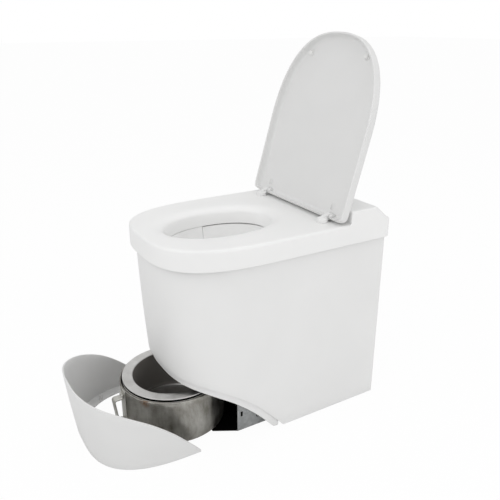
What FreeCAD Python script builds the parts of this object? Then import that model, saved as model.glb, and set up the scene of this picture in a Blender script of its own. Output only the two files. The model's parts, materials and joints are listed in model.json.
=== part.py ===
import FreeCAD, Part
import math
import os

from FreeCAD import Vector

# Caravan incinerating toilet, in millimetres.
# Origin: centre of the four floor-fixing holes, on the floor. +Z is up, the user faces -Y,
# and the flat back is on the +Y side. The lid stands open, the front cover is off and the
# ash pan is pulled forward; each of those is a joint position, with its home position below.

# ---- Driving dimensions --------------------------------------------------------------------
SEAT_WIDTH = 390.0           # widest part: the overhanging band of the seat top
SEAT_BACK = 180.0            # flat rear face of the band
SEAT_FRONT = -405.0          # foremost point of the band
ARC_START = -122.0           # where the straight sides end and the front curve begins
SEAT_HEIGHT = 510.0          # sitting surface above the floor
BAND_BOTTOM = 459.5          # lower edge of the overhanging band
DECK_HEIGHT = 542.5          # raised deck behind the lid
DECK_FRONT = 58.0            # front riser of the deck
DECK_CHAMFER_Y = 44.7        # depth of the sloping rear edge of the deck
DECK_CHAMFER_Z = 38.5        # drop of the sloping rear edge of the deck
FRONT_CURVE_POWER = 3.05     # exponent of the superellipse that rounds the band's front

SHELL_BACK = 176.0           # flat rear face of the body shell
SHELL_TOP = 472.0            # the shell's top edge, hidden inside the band
WALL = 3.5                   # moulded plastic wall
COVER_SPLIT = 178.0          # height of the cover's top edge at the front centre

LID_LENGTH = 437.8
LID_HALF_WIDTH = 195.0
LID_DEPTH = 22.0             # from the lid's outer face to the edge of its rim
LID_PLATE = 3.2
LID_ARC_START = 195.0        # length of the lid's straight sides
LID_OPEN_ANGLE = 106.4       # from closed to the standing position
LID_AXIS_Y = 30.0
LID_AXIS_Z = 521.5
LID_AXIS_IN = 6.4            # axis in front of the lid's rear edge
LID_AXIS_DOWN = 11.0         # axis below the lid's outer face
HINGE_X = 138.0              # each lid hinge from the mid-plane
FOOT_Y = 9.0                 # centre of each hinge foot's base

BOWL_Y = -199.0              # centre of the seat opening and of the inner bowl
OPENING_HALF = (94.0, 145.0)     # half-width and half-length of the opening, at the seat
FUNNEL_HALF = (90.0, 131.0)      # the same at the funnel's lower edge
FUNNEL_BOTTOM = 468.0
BOWL_INSIDE = (92.5, 134.0, 118.0)   # half-axes of the inner bowl
BOWL_RIM = 466.0
BOWL_AXLE_OUT = 147.0        # each bowl half's axle from the bowl's centre
BOWL_AXLE_Z = 456.0
AXLE_R = 4.0
BUSH_R = 7.0

CHASSIS_HALF = 150.0
CHASSIS_FRONT = -237.0
CHASSIS_BACK = 132.0
CHASSIS_TOP = 257.5
SHEET = 1.5
FLOOR_PLATE_Z = 3.0
FLOOR_PLATE_T = 2.0
FIX_X = 161.0                # floor-fixing holes: half the spacing across
FIX_Y = 100.0                # and half the spacing along
FIX_HOLE_R = 3.25

PAN_Y = -343.0               # centre of the ash pan where it stands pulled out
PAN_TRAVEL = 178.0           # how far back it slides to its home under the chamber
PAN_R = 131.0
PAN_RING_R = 125.0
PAN_POT_R = 98.5
PAN_TOP = 132.0
PAN_BOTTOM = 7.0
HOME_Y = PAN_Y + PAN_TRAVEL

COVER_OUT = (-16.0, -220.0)  # the cover stands this far off its home on the shell

CHAMBER_R = 126.0
CHAMBER_TOP = 250.0
THROAT_R = 88.0
THROAT_Y = -185.0

FLUE_Z = 190.0
SPIGOT_R = 30.0
SPIGOT_END = 207.5
FAN_X = -80.0
FAN_Z = 345.0
INTAKE_R = 25.0
GAS_X = 105.0
GAS_Z = 150.0
GAS_PIPE_R = 4.0
GAS_INNER_R = 3.0

BUTTON_X = -125.0
BUTTON_Y = 98.0
RUN_GAP = 0.05               # radial clearance of a turning shaft in its hole

os.makedirs("parts", exist_ok=True)


# ---- Helpers -------------------------------------------------------------------------------
def box(x0, x1, y0, y1, z0, z1):
    return Part.makeBox(x1 - x0, y1 - y0, z1 - z0, Vector(x0, y0, z0))


def rod(radius, start, end):
    direction = Vector(*end).sub(Vector(*start))
    return Part.makeCylinder(radius, direction.Length, Vector(*start), direction)


def tube(outer, inner, start, end):
    return rod(outer, start, end).cut(rod(inner, start, end))


def revolve(points, x, y):
    """Solid of revolution about a vertical axis at (x, y) from (radius, height) points."""
    corners = [Vector(x + r, y, z) for r, z in points]
    face = Part.Face(Part.makePolygon(corners + [corners[0]]))
    return face.revolve(Vector(x, y, 0), Vector(0, 0, 1), 360)


def join(shapes):
    return shapes[0].fuse(shapes[1:]).removeSplitter() if len(shapes) > 1 else shapes[0]


def group(shapes):
    return Part.makeCompound(shapes)


def rounded_wire(points, radii, place):
    """Closed wire of straight edges with a tangent arc of the given radius at each corner.
    place turns a flat (a, b) point into a Vector."""
    count = len(points)
    edges = []
    starts = []
    ends = []
    for i in range(count):
        corner = Vector(*points[i], 0)
        back = Vector(*points[i - 1], 0).sub(corner).normalize()
        ahead = Vector(*points[(i + 1) % count], 0).sub(corner).normalize()
        half = back.getAngle(ahead) / 2
        reach = radii[i] / math.tan(half)
        starts.append(corner.add(back * reach))
        ends.append(corner.add(ahead * reach))
        if radii[i] > 0:
            bisector = back.add(ahead).normalize()
            middle = corner.add(bisector * (radii[i] / math.sin(half) - radii[i]))
            arc = [place(p.x, p.y) for p in (starts[i], middle, ends[i])]
            edges.append(Part.Arc(*arc).toShape())
    for i in range(count):
        a = place(ends[i].x, ends[i].y)
        b = place(starts[(i + 1) % count].x, starts[(i + 1) % count].y)
        if a.distanceToPoint(b) > 1e-6:
            edges.append(Part.makeLine(a, b))
    return Part.Wire(Part.__sortEdges__(edges))


def superellipse(half_x, half_y, power, centre_y, z, first=0.0, last=360.0, steps=32):
    """Points of a superellipse between two angles, in a plane at height z."""
    points = []
    for i in range(steps + 1):
        angle = math.radians(first + (last - first) * i / steps)
        c = math.cos(angle)
        s = math.sin(angle)
        reach = (abs(c) ** power + abs(s) ** power) ** (-1 / power)
        points.append(Vector(half_x * c * reach, centre_y + half_y * s * reach, z))
    return points


def spline(points, tangents=None):
    """Smooth curve through points; equal steps keep stacked outlines alike when lofted."""
    curve = Part.BSplineCurve()
    steps = [float(i) for i in range(len(points))]
    if tangents:
        curve.interpolate(points, Parameters=steps, InitialTangent=tangents[0], FinalTangent=tangents[1])
    else:
        curve.interpolate(points, Parameters=steps)
    return curve.toShape()


def d_wire(half_width, back, arc_start, front, power, z, corner):
    """D-shaped outline: flat back, straight sides, superellipse front, small rear corners."""
    curve = superellipse(half_width, arc_start - front, power, arc_start, z, 0, -180, 16)
    bend = corner * (1 - math.sqrt(0.5))
    right = [Vector(half_width, back - corner, z),
             Vector(half_width - bend, back - bend, z),
             Vector(half_width - corner, back, z)]
    left = [Vector(-p.x, p.y, z) for p in right]
    edges = [spline(curve, (Vector(0, -1, 0), Vector(0, 1, 0))),
             Part.makeLine(curve[-1], left[0]),
             Part.Arc(left[0], left[1], left[2]).toShape(),
             Part.makeLine(left[2], right[2]),
             Part.Arc(right[2], right[1], right[0]).toShape(),
             Part.makeLine(right[0], curve[0])]
    return Part.Wire(edges)


def oval_wire(half_axes, power, z):
    curve = Part.BSplineCurve()
    curve.interpolate(superellipse(*half_axes, power, BOWL_Y, z)[:-1], PeriodicFlag=True)
    return Part.Wire(curve.toShape())


def loft(wires, ruled=False):
    return Part.makeLoft(wires, True, ruled)


def bent_rod(points, radius, bend):
    """Round bar along straight runs between points, with a bend of the given radius at each corner."""
    edges = []
    start = points[0]
    for i in range(1, len(points) - 1):
        back = points[i - 1].sub(points[i]).normalize()
        ahead = points[i + 1].sub(points[i]).normalize()
        half = back.getAngle(ahead) / 2
        reach = bend / math.tan(half)
        middle = points[i].add(back.add(ahead).normalize() * (bend / math.sin(half) - bend))
        first = points[i].add(back * reach)
        last = points[i].add(ahead * reach)
        edges += [Part.makeLine(start, first), Part.Arc(first, middle, last).toShape()]
        start = last
    edges.append(Part.makeLine(start, points[-1]))
    circle = Part.Wire(Part.makeCircle(radius, points[0], points[1].sub(points[0])))
    return Part.Wire(edges).makePipeShell([circle], True, True)


def hex_prism(across, start, length, axis):
    """Hexagonal prism along a row axis (Vector), for nuts and unions."""
    radius = across / math.sqrt(3)
    side = Vector(0, 0, 1) if abs(axis.z) < 0.5 else Vector(1, 0, 0)
    other = axis.cross(side)
    corners = []
    for i in range(7):
        turn = math.radians(60 * i)
        corners.append(Vector(*start).add(side * (radius * math.cos(turn)))
                       .add(other * (radius * math.sin(turn))))
    return Part.Face(Part.makePolygon(corners)).extrude(axis * length)


def save(name, shape):
    shape.exportStep("parts/" + name + ".step")


# ---- Body shell and front cover --------------------------------------------------------------
# Outer outline at four heights: (height, half-width, front, superellipse exponent).
SHELL_SECTIONS = [(0.0, 184.0, -360.0, 3.0),
                  (90.0, 184.3, -371.5, 2.85),
                  (COVER_SPLIT, 184.6, -380.5, 2.75),
                  (SHELL_TOP, 185.5, -394.7, 2.8)]
SHELL_CORNER = 8.0
CUT_LINE = [(-118.0, -5.0), (-145.0, 26.0), (-192.0, 75.0), (-244.0, 116.0),
            (-300.0, 145.5), (-350.0, 164.5), (-384.0, COVER_SPLIT)]
LIP_REACH = Vector(0, -12.0, -16.0)
LIP_GAP = 2.6                # between the cover's inside and the lip that it slips over
LIP_WALL = 3.0
COVER_GAP = 0.8              # visible joint between shell and cover
LEDGE_WIDTH = 26.0
LEDGE_T = 3.0
BOSS_PLACES = [(143.0, -269.0), (70.0, -330.0)]


def shell_block(inset):
    """The space inside the shell's outer face, moved in by inset."""
    wires = []
    for z, half_width, front, power in SHELL_SECTIONS:
        corner = max(SHELL_CORNER - inset, 1.0)
        wires.append(d_wire(half_width - inset, SHELL_BACK - inset, ARC_START,
                            front + inset, power, z, corner))
    return loft(wires)


def skin(outer_inset, inner_inset):
    return shell_block(outer_inset).cut(shell_block(inner_inset))


def below_cut(shift):
    """Everything below and ahead of the cut line, moved by shift."""
    line = [Vector(-SEAT_WIDTH, y, z).add(shift) for y, z in CUT_LINE]
    top = spline(line)
    end = Vector(-SEAT_WIDTH, -500, line[-1].z)
    low = Vector(-SEAT_WIDTH, -500, -100)
    heel = Vector(-SEAT_WIDTH, line[0].y, -100)
    edges = [top, Part.makeLine(line[-1], end), Part.makeLine(end, low),
             Part.makeLine(low, heel), Part.makeLine(heel, line[0])]
    return Part.Face(Part.Wire(edges)).extrude(Vector(2 * SEAT_WIDTH, 0, 0))


PANEL = (-140.0, 140.0, 100.0, 400.0)        # service opening: x0, x1, z0, z1
PANEL_LAP = 12.0
PANEL_T = 2.5
SCREW_R = 2.0
SCREW_HOLE_R = 2.2


def panel_screw_places():
    x = PANEL[1] + PANEL_LAP / 2
    return [(side * x, z) for side in (-1, 1) for z in (PANEL[2], 250.0, PANEL[3])]


def body_shell():
    shell = skin(0, WALL).cut(below_cut(Vector(0, 0, 0)))
    strip = below_cut(Vector(0, 6, 8)).cut(below_cut(LIP_REACH))
    web = below_cut(Vector(0, 6, 8)).cut(below_cut(Vector(0, 0, 0)))
    lip_inset = WALL + LIP_GAP
    lip = skin(lip_inset, lip_inset + LIP_WALL).common(strip)
    joggle = skin(WALL - 1, lip_inset + LIP_WALL).common(web)
    shell = join([shell, joggle, lip])
    x0, x1, z0, z1 = PANEL
    shell = shell.cut(box(x0, x1, SHELL_BACK - 2 * WALL, SHELL_BACK + 1, z0, z1))
    for x, z in panel_screw_places():
        shell = shell.cut(rod(SCREW_HOLE_R, (x, SHELL_BACK - 9, z), (x, SHELL_BACK + 1, z)))
    return shell


def front_cover():
    cover = skin(0, WALL).common(below_cut(Vector(0, -COVER_GAP, -COVER_GAP)))
    ledge = skin(WALL - 1, WALL + LEDGE_WIDTH).common(below_cut(Vector(0, -14, -14)))
    ledge = ledge.common(box(-200, 200, -420, -146, 0, LEDGE_T))
    pieces = [cover, ledge]
    for side in (-1, 1):
        for x, y in BOSS_PLACES:
            pieces.append(rod(6.0, (side * x, y, 0), (side * x, y, 15)))
    cover = join(pieces)
    for side in (-1, 1):
        for x, y in BOSS_PLACES:
            cover = cover.cut(rod(1.8, (side * x, y, 4), (side * x, y, 16)))
    cover = cover.common(box(-200, 200, -420, 0, 0, 400))
    cover.translate(Vector(COVER_OUT[0], COVER_OUT[1], 0))
    return cover


# ---- Seat top --------------------------------------------------------------------------------
SEAT_CORNER = 12.0
SEAT_ROUND = 6.5             # outer edge of the sitting surface
LIP_ROUND = 14.0             # edge of the opening
LIP_FLARE = 17.0             # how far the throat's collar spreads under that edge
LIP_FLARE_Z = 488.0
THROAT_WALL = 3.0
SEAT_PLATE = 4.0


def seat_outline(z, inset=0.0):
    return d_wire(SEAT_WIDTH / 2 - inset, SEAT_BACK - inset, ARC_START, SEAT_FRONT + inset,
                  FRONT_CURVE_POWER, z, max(SEAT_CORNER - inset, 1.0))


def deck_profile(inset, half_width):
    """Cross-section of the raised deck, extruded across the seat."""
    back = SEAT_BACK - inset
    top = DECK_HEIGHT - inset
    slope = math.atan2(DECK_CHAMFER_Z, DECK_CHAMFER_Y)
    slide = inset * math.tan((math.pi / 2 - slope) / 2)
    step = inset * math.tan(slope / 2)
    points = [(DECK_FRONT + inset, SEAT_HEIGHT - 30),
              (DECK_FRONT + inset, top),
              (SEAT_BACK - DECK_CHAMFER_Y - step, top),
              (back, DECK_HEIGHT - DECK_CHAMFER_Z - slide),
              (back, SEAT_HEIGHT - 30)]
    radii = [0, max(7.0 - inset, 0), 6.0, max(6.0 - inset, 0), 0]
    wire = rounded_wire(points, radii, lambda y, z: Vector(-half_width, y, z))
    return Part.Face(wire).extrude(Vector(2 * half_width, 0, 0))


def edges_at(shape, test):
    return [e for e in shape.Edges if test(e.CenterOfMass, e)]


def seat_top():
    half = SEAT_WIDTH / 2
    band = Part.Face(seat_outline(BAND_BOTTOM)).extrude(Vector(0, 0, SEAT_HEIGHT - BAND_BOTTOM))
    rim = edges_at(band, lambda c, e: abs(c.z - SEAT_HEIGHT) < 0.01)
    band = band.makeFillet(SEAT_ROUND, rim)
    deck = deck_profile(0, half)
    side = edges_at(deck, lambda c, e: abs(abs(c.x) - half) < 0.01 and c.z > SEAT_HEIGHT - 20)
    deck = deck.makeFillet(4.0, side)
    corner_block = Part.Face(seat_outline(BAND_BOTTOM)).extrude(Vector(0, 0, 120))
    deck = deck.common(corner_block)
    hollow = Part.Face(seat_outline(BAND_BOTTOM - 1, WALL)).extrude(
        Vector(0, 0, SEAT_HEIGHT - SEAT_PLATE - BAND_BOTTOM + 1))
    deck_hollow = deck_profile(SEAT_PLATE, half - SEAT_PLATE)
    cove_corners = [(DECK_FRONT - 6, SEAT_HEIGHT - 3), (DECK_FRONT + 2, SEAT_HEIGHT - 3),
                    (DECK_FRONT + 2, SEAT_HEIGHT + 6)]
    cove = Part.Face(rounded_wire(cove_corners, [0, 0, 0], lambda y, z: Vector(-half + 4, y, z)))
    cove = cove.extrude(Vector(SEAT_WIDTH - 8, 0, 0))
    cove = cove.cut(rod(7.0, (-half, DECK_FRONT - 6.9, SEAT_HEIGHT + 6.9),
                        (half, DECK_FRONT - 6.9, SEAT_HEIGHT + 6.9)))
    seat = band.fuse([deck, cove]).cut(hollow).cut(deck_hollow)
    collar = [oval_wire([a + LIP_FLARE for a in OPENING_HALF], 2.05, SEAT_HEIGHT - 2),
              oval_wire([a + THROAT_WALL for a in OPENING_HALF], 2.05, LIP_FLARE_Z)]
    sleeve = [oval_wire([a + THROAT_WALL for a in OPENING_HALF], 2.05, LIP_FLARE_Z + 1),
              oval_wire([a + THROAT_WALL for a in FUNNEL_HALF], 2.15, FUNNEL_BOTTOM)]
    inside = [oval_wire(OPENING_HALF, 2.05, SEAT_HEIGHT),
              oval_wire(FUNNEL_HALF, 2.15, FUNNEL_BOTTOM)]
    seat = seat.fuse([loft(collar), loft(sleeve)]).cut(loft(inside))
    lip = edges_at(seat, lambda c, e: abs(c.z - SEAT_HEIGHT) < 0.01
                   and abs(c.x) < 1 and e.Length > 400 and e.BoundBox.XMax < 110)
    seat = seat.makeFillet(LIP_ROUND, lip)
    for side_sign in (-1, 1):
        x = side_sign * HINGE_X
        seat = seat.cut(rod(2.5, (x, FOOT_Y, 500), (x, FOOT_Y, SEAT_HEIGHT + 1)))
    return seat.cut(rod(12.2, (BUTTON_X, BUTTON_Y, 530), (BUTTON_X, BUTTON_Y, DECK_HEIGHT + 1)))


# ---- Lid and its hinges ------------------------------------------------------------------------
EYE_R = 7.2
PIN_R = 3.0
EYE_HALF = 6.0               # half-length of the foot's eye along the pin
LUG_T = 6.0
BUMPER_PLACE = (108.0, 386.0)    # across and along the lid from its rear edge
BUMPER_HEIGHT = 5.8
BUMPER_R = 6.5
BOSS_HEIGHT = 2.5            # raised ring on the lid's inner face that a bumper sits on
RECESS_SPAN = (-5.0, 10.0)   # shallow pocket beside each hinge, across from the hinge's middle
HEEL_CUT = 6.0               # bevel that lets the lid's rear rim turn clear of the seat


def closed_lid_y(along):
    return LID_AXIS_Y + LID_AXIS_IN - along


LID_TOP_Z = LID_AXIS_Z + LID_AXIS_DOWN       # outer face of the closed lid
LID_RIM_Z = LID_TOP_Z - LID_DEPTH


def lid_wire(inset, z, corner, power=2.45):
    return d_wire(LID_HALF_WIDTH - inset, closed_lid_y(inset), closed_lid_y(LID_ARC_START),
                  closed_lid_y(LID_LENGTH) + inset, power, z, corner)


def lid_closed():
    block = Part.Face(lid_wire(0, LID_RIM_Z, 17.0)).extrude(Vector(0, 0, LID_DEPTH))
    top = edges_at(block, lambda c, e: abs(c.z - LID_TOP_Z) < 0.01)
    block = block.makeFillet(5.0, top)
    low = edges_at(block, lambda c, e: abs(c.z - LID_RIM_Z) < 0.01)
    block = block.makeFillet(1.5, low)
    dish = loft([lid_wire(4.5, LID_RIM_Z - 0.01, 13.0),
                 lid_wire(7.5, LID_TOP_Z - LID_PLATE - 8, 11.0),
                 lid_wire(15.0, LID_TOP_Z - LID_PLATE, 8.0)])
    rear = closed_lid_y(-1)
    heel = [Vector(-LID_HALF_WIDTH, rear, LID_RIM_Z - 1),
            Vector(-LID_HALF_WIDTH, rear, LID_RIM_Z + HEEL_CUT + 1),
            Vector(-LID_HALF_WIDTH, rear - HEEL_CUT - 2, LID_RIM_Z - 1)]
    heel = Part.Face(Part.makePolygon(heel + [heel[0]])).extrude(Vector(2 * LID_HALF_WIDTH, 0, 0))
    lid = block.cut(dish).cut(heel)
    for side in (-1, 1):
        x = side * HINGE_X
        eye = (LID_AXIS_Y, LID_AXIS_Z)
        for x0, x1 in ((x - EYE_HALF - 1 - LUG_T, x - EYE_HALF - 1),
                       (x + EYE_HALF + 1, x + EYE_HALF + 1 + LUG_T)):
            lug = join([rod(EYE_R, (x0, *eye), (x1, *eye)),
                        box(x0, x1, eye[0] - EYE_R, closed_lid_y(2.5), eye[1], LID_TOP_Z - 2)])
            lid = lid.fuse(lug)
        lid = lid.cut(box(x - EYE_HALF - 1, x + EYE_HALF + 1, eye[0] - 12, eye[0] + 10,
                          LID_RIM_Z - 1, LID_TOP_Z - LID_PLATE))
        lid = lid.cut(box(x + RECESS_SPAN[0], x + RECESS_SPAN[1], closed_lid_y(37), closed_lid_y(23),
                          LID_RIM_Z, LID_TOP_Z - LID_PLATE + 1.2))
        lid = lid.cut(rod(PIN_R, (x - 20, *eye), (x + 20, *eye)))
        head = x + EYE_HALF + 1 + LUG_T
        lid = lid.cut(rod(EYE_R + 0.4, (head, *eye), (head + 3.5, *eye)))
        place = (side * BUMPER_PLACE[0], closed_lid_y(BUMPER_PLACE[1]))
        lid = lid.fuse(rod(8.0, (*place, LID_TOP_Z - LID_PLATE - BOSS_HEIGHT), (*place, LID_TOP_Z - 1)))
        lid = lid.cut(rod(2.5, (*place, LID_TOP_Z - LID_PLATE - 6), (*place, LID_TOP_Z - 1.8)))
    return lid


def open_lid(shape):
    shape.rotate(Vector(0, LID_AXIS_Y, LID_AXIS_Z), Vector(1, 0, 0), -LID_OPEN_ANGLE)
    return shape


def lid_bumpers():
    pads = []
    for side in (-1, 1):
        x = side * BUMPER_PLACE[0]
        y = closed_lid_y(BUMPER_PLACE[1])
        seat_z = LID_TOP_Z - LID_PLATE - BOSS_HEIGHT
        tip = seat_z - BUMPER_HEIGHT
        pad = revolve([(0, tip), (BUMPER_R - 2, tip), (BUMPER_R, tip + 2), (BUMPER_R, seat_z), (2.5, seat_z),
                       (2.5, seat_z + 3.5), (0, seat_z + 3.5)], x, y)
        pads.append(pad)
    return open_lid(group(pads))


def hinge_pins():
    """Pins held tight in the lid's lugs and turning in the feet, with a round head."""
    eye = (LID_AXIS_Y, LID_AXIS_Z)
    reach = EYE_HALF + 1 + LUG_T
    pins = []
    for side in (-1, 1):
        x = side * HINGE_X
        pin = join([rod(PIN_R, (x - reach, *eye), (x + reach + 0.5, *eye)),
                    rod(EYE_R, (x + reach, *eye), (x + reach + 2.5, *eye))])
        pins.append(pin)
    return group(pins)


def hinge_feet():
    feet = []
    for side in (-1, 1):
        x = side * HINGE_X
        eye = (LID_AXIS_Y, LID_AXIS_Z)
        base = revolve([(0, SEAT_HEIGHT), (12.5, SEAT_HEIGHT), (12.5, SEAT_HEIGHT + 3),
                        (11, SEAT_HEIGHT + 5.5), (0, SEAT_HEIGHT + 6.5)], x, FOOT_Y)
        arm = Part.Face(Part.makePolygon([
            Vector(x - EYE_HALF, FOOT_Y - 8, SEAT_HEIGHT + 2),
            Vector(x - EYE_HALF, FOOT_Y + 11, SEAT_HEIGHT + 2),
            Vector(x - EYE_HALF, eye[0] + 1.5, eye[1] - 6.4),
            Vector(x - EYE_HALF, eye[0] - 3.5, eye[1] + 5.8),
            Vector(x - EYE_HALF, FOOT_Y - 8, SEAT_HEIGHT + 4),
            Vector(x - EYE_HALF, FOOT_Y - 8, SEAT_HEIGHT + 2)])).extrude(Vector(2 * EYE_HALF, 0, 0))
        stem = rod(2.4, (x, FOOT_Y, 488), (x, FOOT_Y, SEAT_HEIGHT + 1))
        foot = join([base, arm, stem, rod(EYE_R - 0.2, (x - EYE_HALF, *eye), (x + EYE_HALF, *eye))])
        foot = foot.cut(rod(PIN_R + RUN_GAP, (x - 10, *eye), (x + 10, *eye)))
        feet.append(foot)
    return group(feet)


def hinge_nuts():
    nuts = []
    for side in (-1, 1):
        x = side * HINGE_X
        nut = hex_prism(14.0, (x, FOOT_Y, 498), 7.5, Vector(0, 0, 1))
        nuts.append(nut.cut(rod(2.4, (x, FOOT_Y, 490), (x, FOOT_Y, 510))))
    return group(nuts)


# ---- Inner bowl: two halves that swing down and apart --------------------------------------------
FRAME_HALF = 115.0
FRAME_LENGTH_HALF = 159.5
FRAME_WALL = 3.0
FRAME_BOTTOM = 438.0
FRAME_TOP = 466.0
TAB_INSET = 22.0
TAB_WIDTH = 24.0
MOTOR_R = 9.3


def ellipsoid(half_axes, centre_z):
    ball = Part.makeSphere(1.0)
    stretch = FreeCAD.Matrix()
    stretch.scale(*half_axes)
    ball = ball.transformGeometry(stretch)
    ball.translate(Vector(0, BOWL_Y, centre_z))
    return ball


def bowl_half(direction, rim):
    """direction -1 is the front half, +1 the rear half."""
    wall = 3.0
    outer = ellipsoid([a + wall for a in BOWL_INSIDE], FUNNEL_BOTTOM)
    inner = ellipsoid(BOWL_INSIDE, FUNNEL_BOTTOM)
    split = 0.5
    if direction < 0:
        side = box(-150, 150, BOWL_Y - 200, BOWL_Y - split, 200, rim)
    else:
        side = box(-150, 150, BOWL_Y + split, BOWL_Y + 200, 200, rim)
    axle_y = BOWL_Y + direction * BOWL_AXLE_OUT
    barrel = rod(8.0, (-40, axle_y, BOWL_AXLE_Z), (40, axle_y, BOWL_AXLE_Z))
    near = sorted((axle_y, axle_y - direction * 30))
    web = box(-38, 38, near[0], near[1], BOWL_AXLE_Z - 7, BOWL_AXLE_Z + 1)
    half = join([outer.common(side), barrel, web]).cut(inner)
    return half.cut(rod(AXLE_R, (-150, axle_y, BOWL_AXLE_Z), (150, axle_y, BOWL_AXLE_Z)))


def bowl_axle(direction):
    y = BOWL_Y + direction * BOWL_AXLE_OUT
    return rod(AXLE_R, (-FRAME_HALF - 3, y, BOWL_AXLE_Z), (61, y, BOWL_AXLE_Z))


def bowl_frame():
    """Open frame that carries the bowl's axles, hung from the seat by four tabs."""
    y0 = BOWL_Y - FRAME_LENGTH_HALF
    y1 = BOWL_Y + FRAME_LENGTH_HALF
    inner_x = FRAME_HALF - FRAME_WALL
    outer = box(-FRAME_HALF, FRAME_HALF, y0, y1, FRAME_BOTTOM, FRAME_TOP)
    inner = box(-inner_x, inner_x, y0 + FRAME_WALL, y1 - FRAME_WALL, FRAME_BOTTOM - 1, FRAME_TOP + 1)
    pieces = [outer.cut(inner)]
    for x in (-FRAME_HALF, inner_x):
        for y in (y0 + TAB_INSET, y1 - TAB_INSET - TAB_WIDTH):
            pieces.append(box(x, x + FRAME_WALL, y, y + TAB_WIDTH, FRAME_TOP - 6, SEAT_HEIGHT - SEAT_PLATE))
    frame = join(pieces)
    for direction in (-1, 1):
        y = BOWL_Y + direction * BOWL_AXLE_OUT
        frame = frame.cut(rod(BUSH_R, (-FRAME_HALF - 1, y, BOWL_AXLE_Z),
                              (-inner_x + 1, y, BOWL_AXLE_Z)))
    return frame


def bowl_bushes():
    bushes = []
    for direction in (-1, 1):
        y = BOWL_Y + direction * BOWL_AXLE_OUT
        inner_x = -FRAME_HALF + FRAME_WALL
        bush = tube(BUSH_R, AXLE_R + RUN_GAP, (-FRAME_HALF, y, BOWL_AXLE_Z), (inner_x, y, BOWL_AXLE_Z))
        flange = tube(BUSH_R + 2, AXLE_R + RUN_GAP, (inner_x, y, BOWL_AXLE_Z), (inner_x + 2, y, BOWL_AXLE_Z))
        bushes.append(join([bush, flange]))
    return group(bushes)


def bowl_motors():
    motors = []
    for direction in (-1, 1):
        y = BOWL_Y + direction * BOWL_AXLE_OUT
        gearbox = rod(MOTOR_R, (62, y, BOWL_AXLE_Z), (84, y, BOWL_AXLE_Z))
        can = rod(MOTOR_R - 2, (84, y, BOWL_AXLE_Z), (FRAME_HALF - FRAME_WALL, y, BOWL_AXLE_Z))
        motors.append(join([gearbox, can]))
    return group(motors)


# ---- Chassis -------------------------------------------------------------------------------------
def chassis_box():
    inner = CHASSIS_HALF - SHEET
    walls = box(-CHASSIS_HALF, CHASSIS_HALF, CHASSIS_FRONT, CHASSIS_BACK,
                FLOOR_PLATE_Z + FLOOR_PLATE_T, CHASSIS_TOP)
    room = box(-inner, inner, CHASSIS_FRONT - 1, CHASSIS_BACK - SHEET,
               0, CHASSIS_TOP - SHEET)
    sheet = walls.cut(room)
    skirts = [box(-CHASSIS_HALF, -inner, CHASSIS_FRONT, CHASSIS_BACK, FLOOR_PLATE_Z, 20),
              box(inner, CHASSIS_HALF, CHASSIS_FRONT, CHASSIS_BACK, FLOOR_PLATE_Z, 20)]
    sheet = join([sheet] + skirts)
    sheet = sheet.cut(rod(THROAT_R + 2, (0, THROAT_Y, 200), (0, THROAT_Y, 300)))
    sheet = sheet.cut(rod(SPIGOT_R + 1, (0, 100, FLUE_Z), (0, 200, FLUE_Z)))
    sheet = sheet.cut(rod(DUCT_R + 2, (DUCT_X, DUCT_Y, 240), (DUCT_X, DUCT_Y, 300)))
    sheet = sheet.cut(rod(6.0, (GAS_X, 100, GAS_Z), (GAS_X, 200, GAS_Z)))
    slot = box(-CHASSIS_HALF - 1, CHASSIS_HALF + 1, -228, -222, 43, 57)
    sheet = sheet.cut(slot)
    for x in (-CHASSIS_HALF, CHASSIS_HALF):
        sheet = sheet.cut(rod(SCREW_HOLE_R, (x - 5, -179, 29), (x + 5, -179, 29)))
        for y in (-FIX_Y, FIX_Y):
            for offset in (-9, 9):
                sheet = sheet.cut(rod(SCREW_HOLE_R, (x - 5, y + offset, 16), (x + 5, y + offset, 16)))
    return sheet


def floor_plate():
    clip_x = 118.0
    tongue = -291.0
    inner = CHASSIS_HALF - SHEET
    corners = [(inner, CHASSIS_BACK - SHEET), (inner, CHASSIS_FRONT), (clip_x, tongue),
               (-clip_x, tongue), (-inner, CHASSIS_FRONT), (-inner, CHASSIS_BACK - SHEET)]
    points = [Vector(x, y, FLOOR_PLATE_Z) for x, y in corners]
    plate = Part.Face(Part.makePolygon(points + [points[0]])).extrude(Vector(0, 0, FLOOR_PLATE_T))
    return plate


def pan_runners():
    rails = []
    top = PAN_BOTTOM - 0.3
    for side in (-1, 1):
        x = side * 70.0
        rails.append(box(x - 8, x + 8, -280, 60, FLOOR_PLATE_Z + FLOOR_PLATE_T, top))
    return group(rails)


def floor_brackets():
    brackets = []
    for side in (-1, 1):
        for y in (-FIX_Y, FIX_Y):
            inner = CHASSIS_HALF
            outer = CHASSIS_HALF + 22
            span = sorted((side * inner, side * outer))
            wall = sorted((side * inner, side * (inner + 2.5)))
            bracket = join([box(*span, y - 15, y + 15, 0, 2.5),
                            box(*wall, y - 15, y + 15, 0, 24)])
            bracket = bracket.cut(rod(FIX_HOLE_R, (side * FIX_X, y, -1), (side * FIX_X, y, 4)))
            for offset in (-9, 9):
                bracket = bracket.cut(rod(SCREW_HOLE_R, (side * (inner - 1), y + offset, 16),
                                          (side * (inner + 4), y + offset, 16)))
            brackets.append(bracket)
    return group(brackets)


def bracket_rivets():
    rivets = []
    for side in (-1, 1):
        for y in (-FIX_Y, FIX_Y):
            for offset in (-9, 9):
                at = y + offset
                inner = side * (CHASSIS_HALF - SHEET)
                outer = side * (CHASSIS_HALF + 2.5)
                rivets.append(join([
                    rod(SCREW_R, (inner, at, 16), (outer, at, 16)),
                    rod(3.5, (outer, at, 16), (outer + side * 1.5, at, 16)),
                    rod(3.2, (inner - side * 1.5, at, 16), (inner, at, 16))]))
    return group(rivets)


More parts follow.
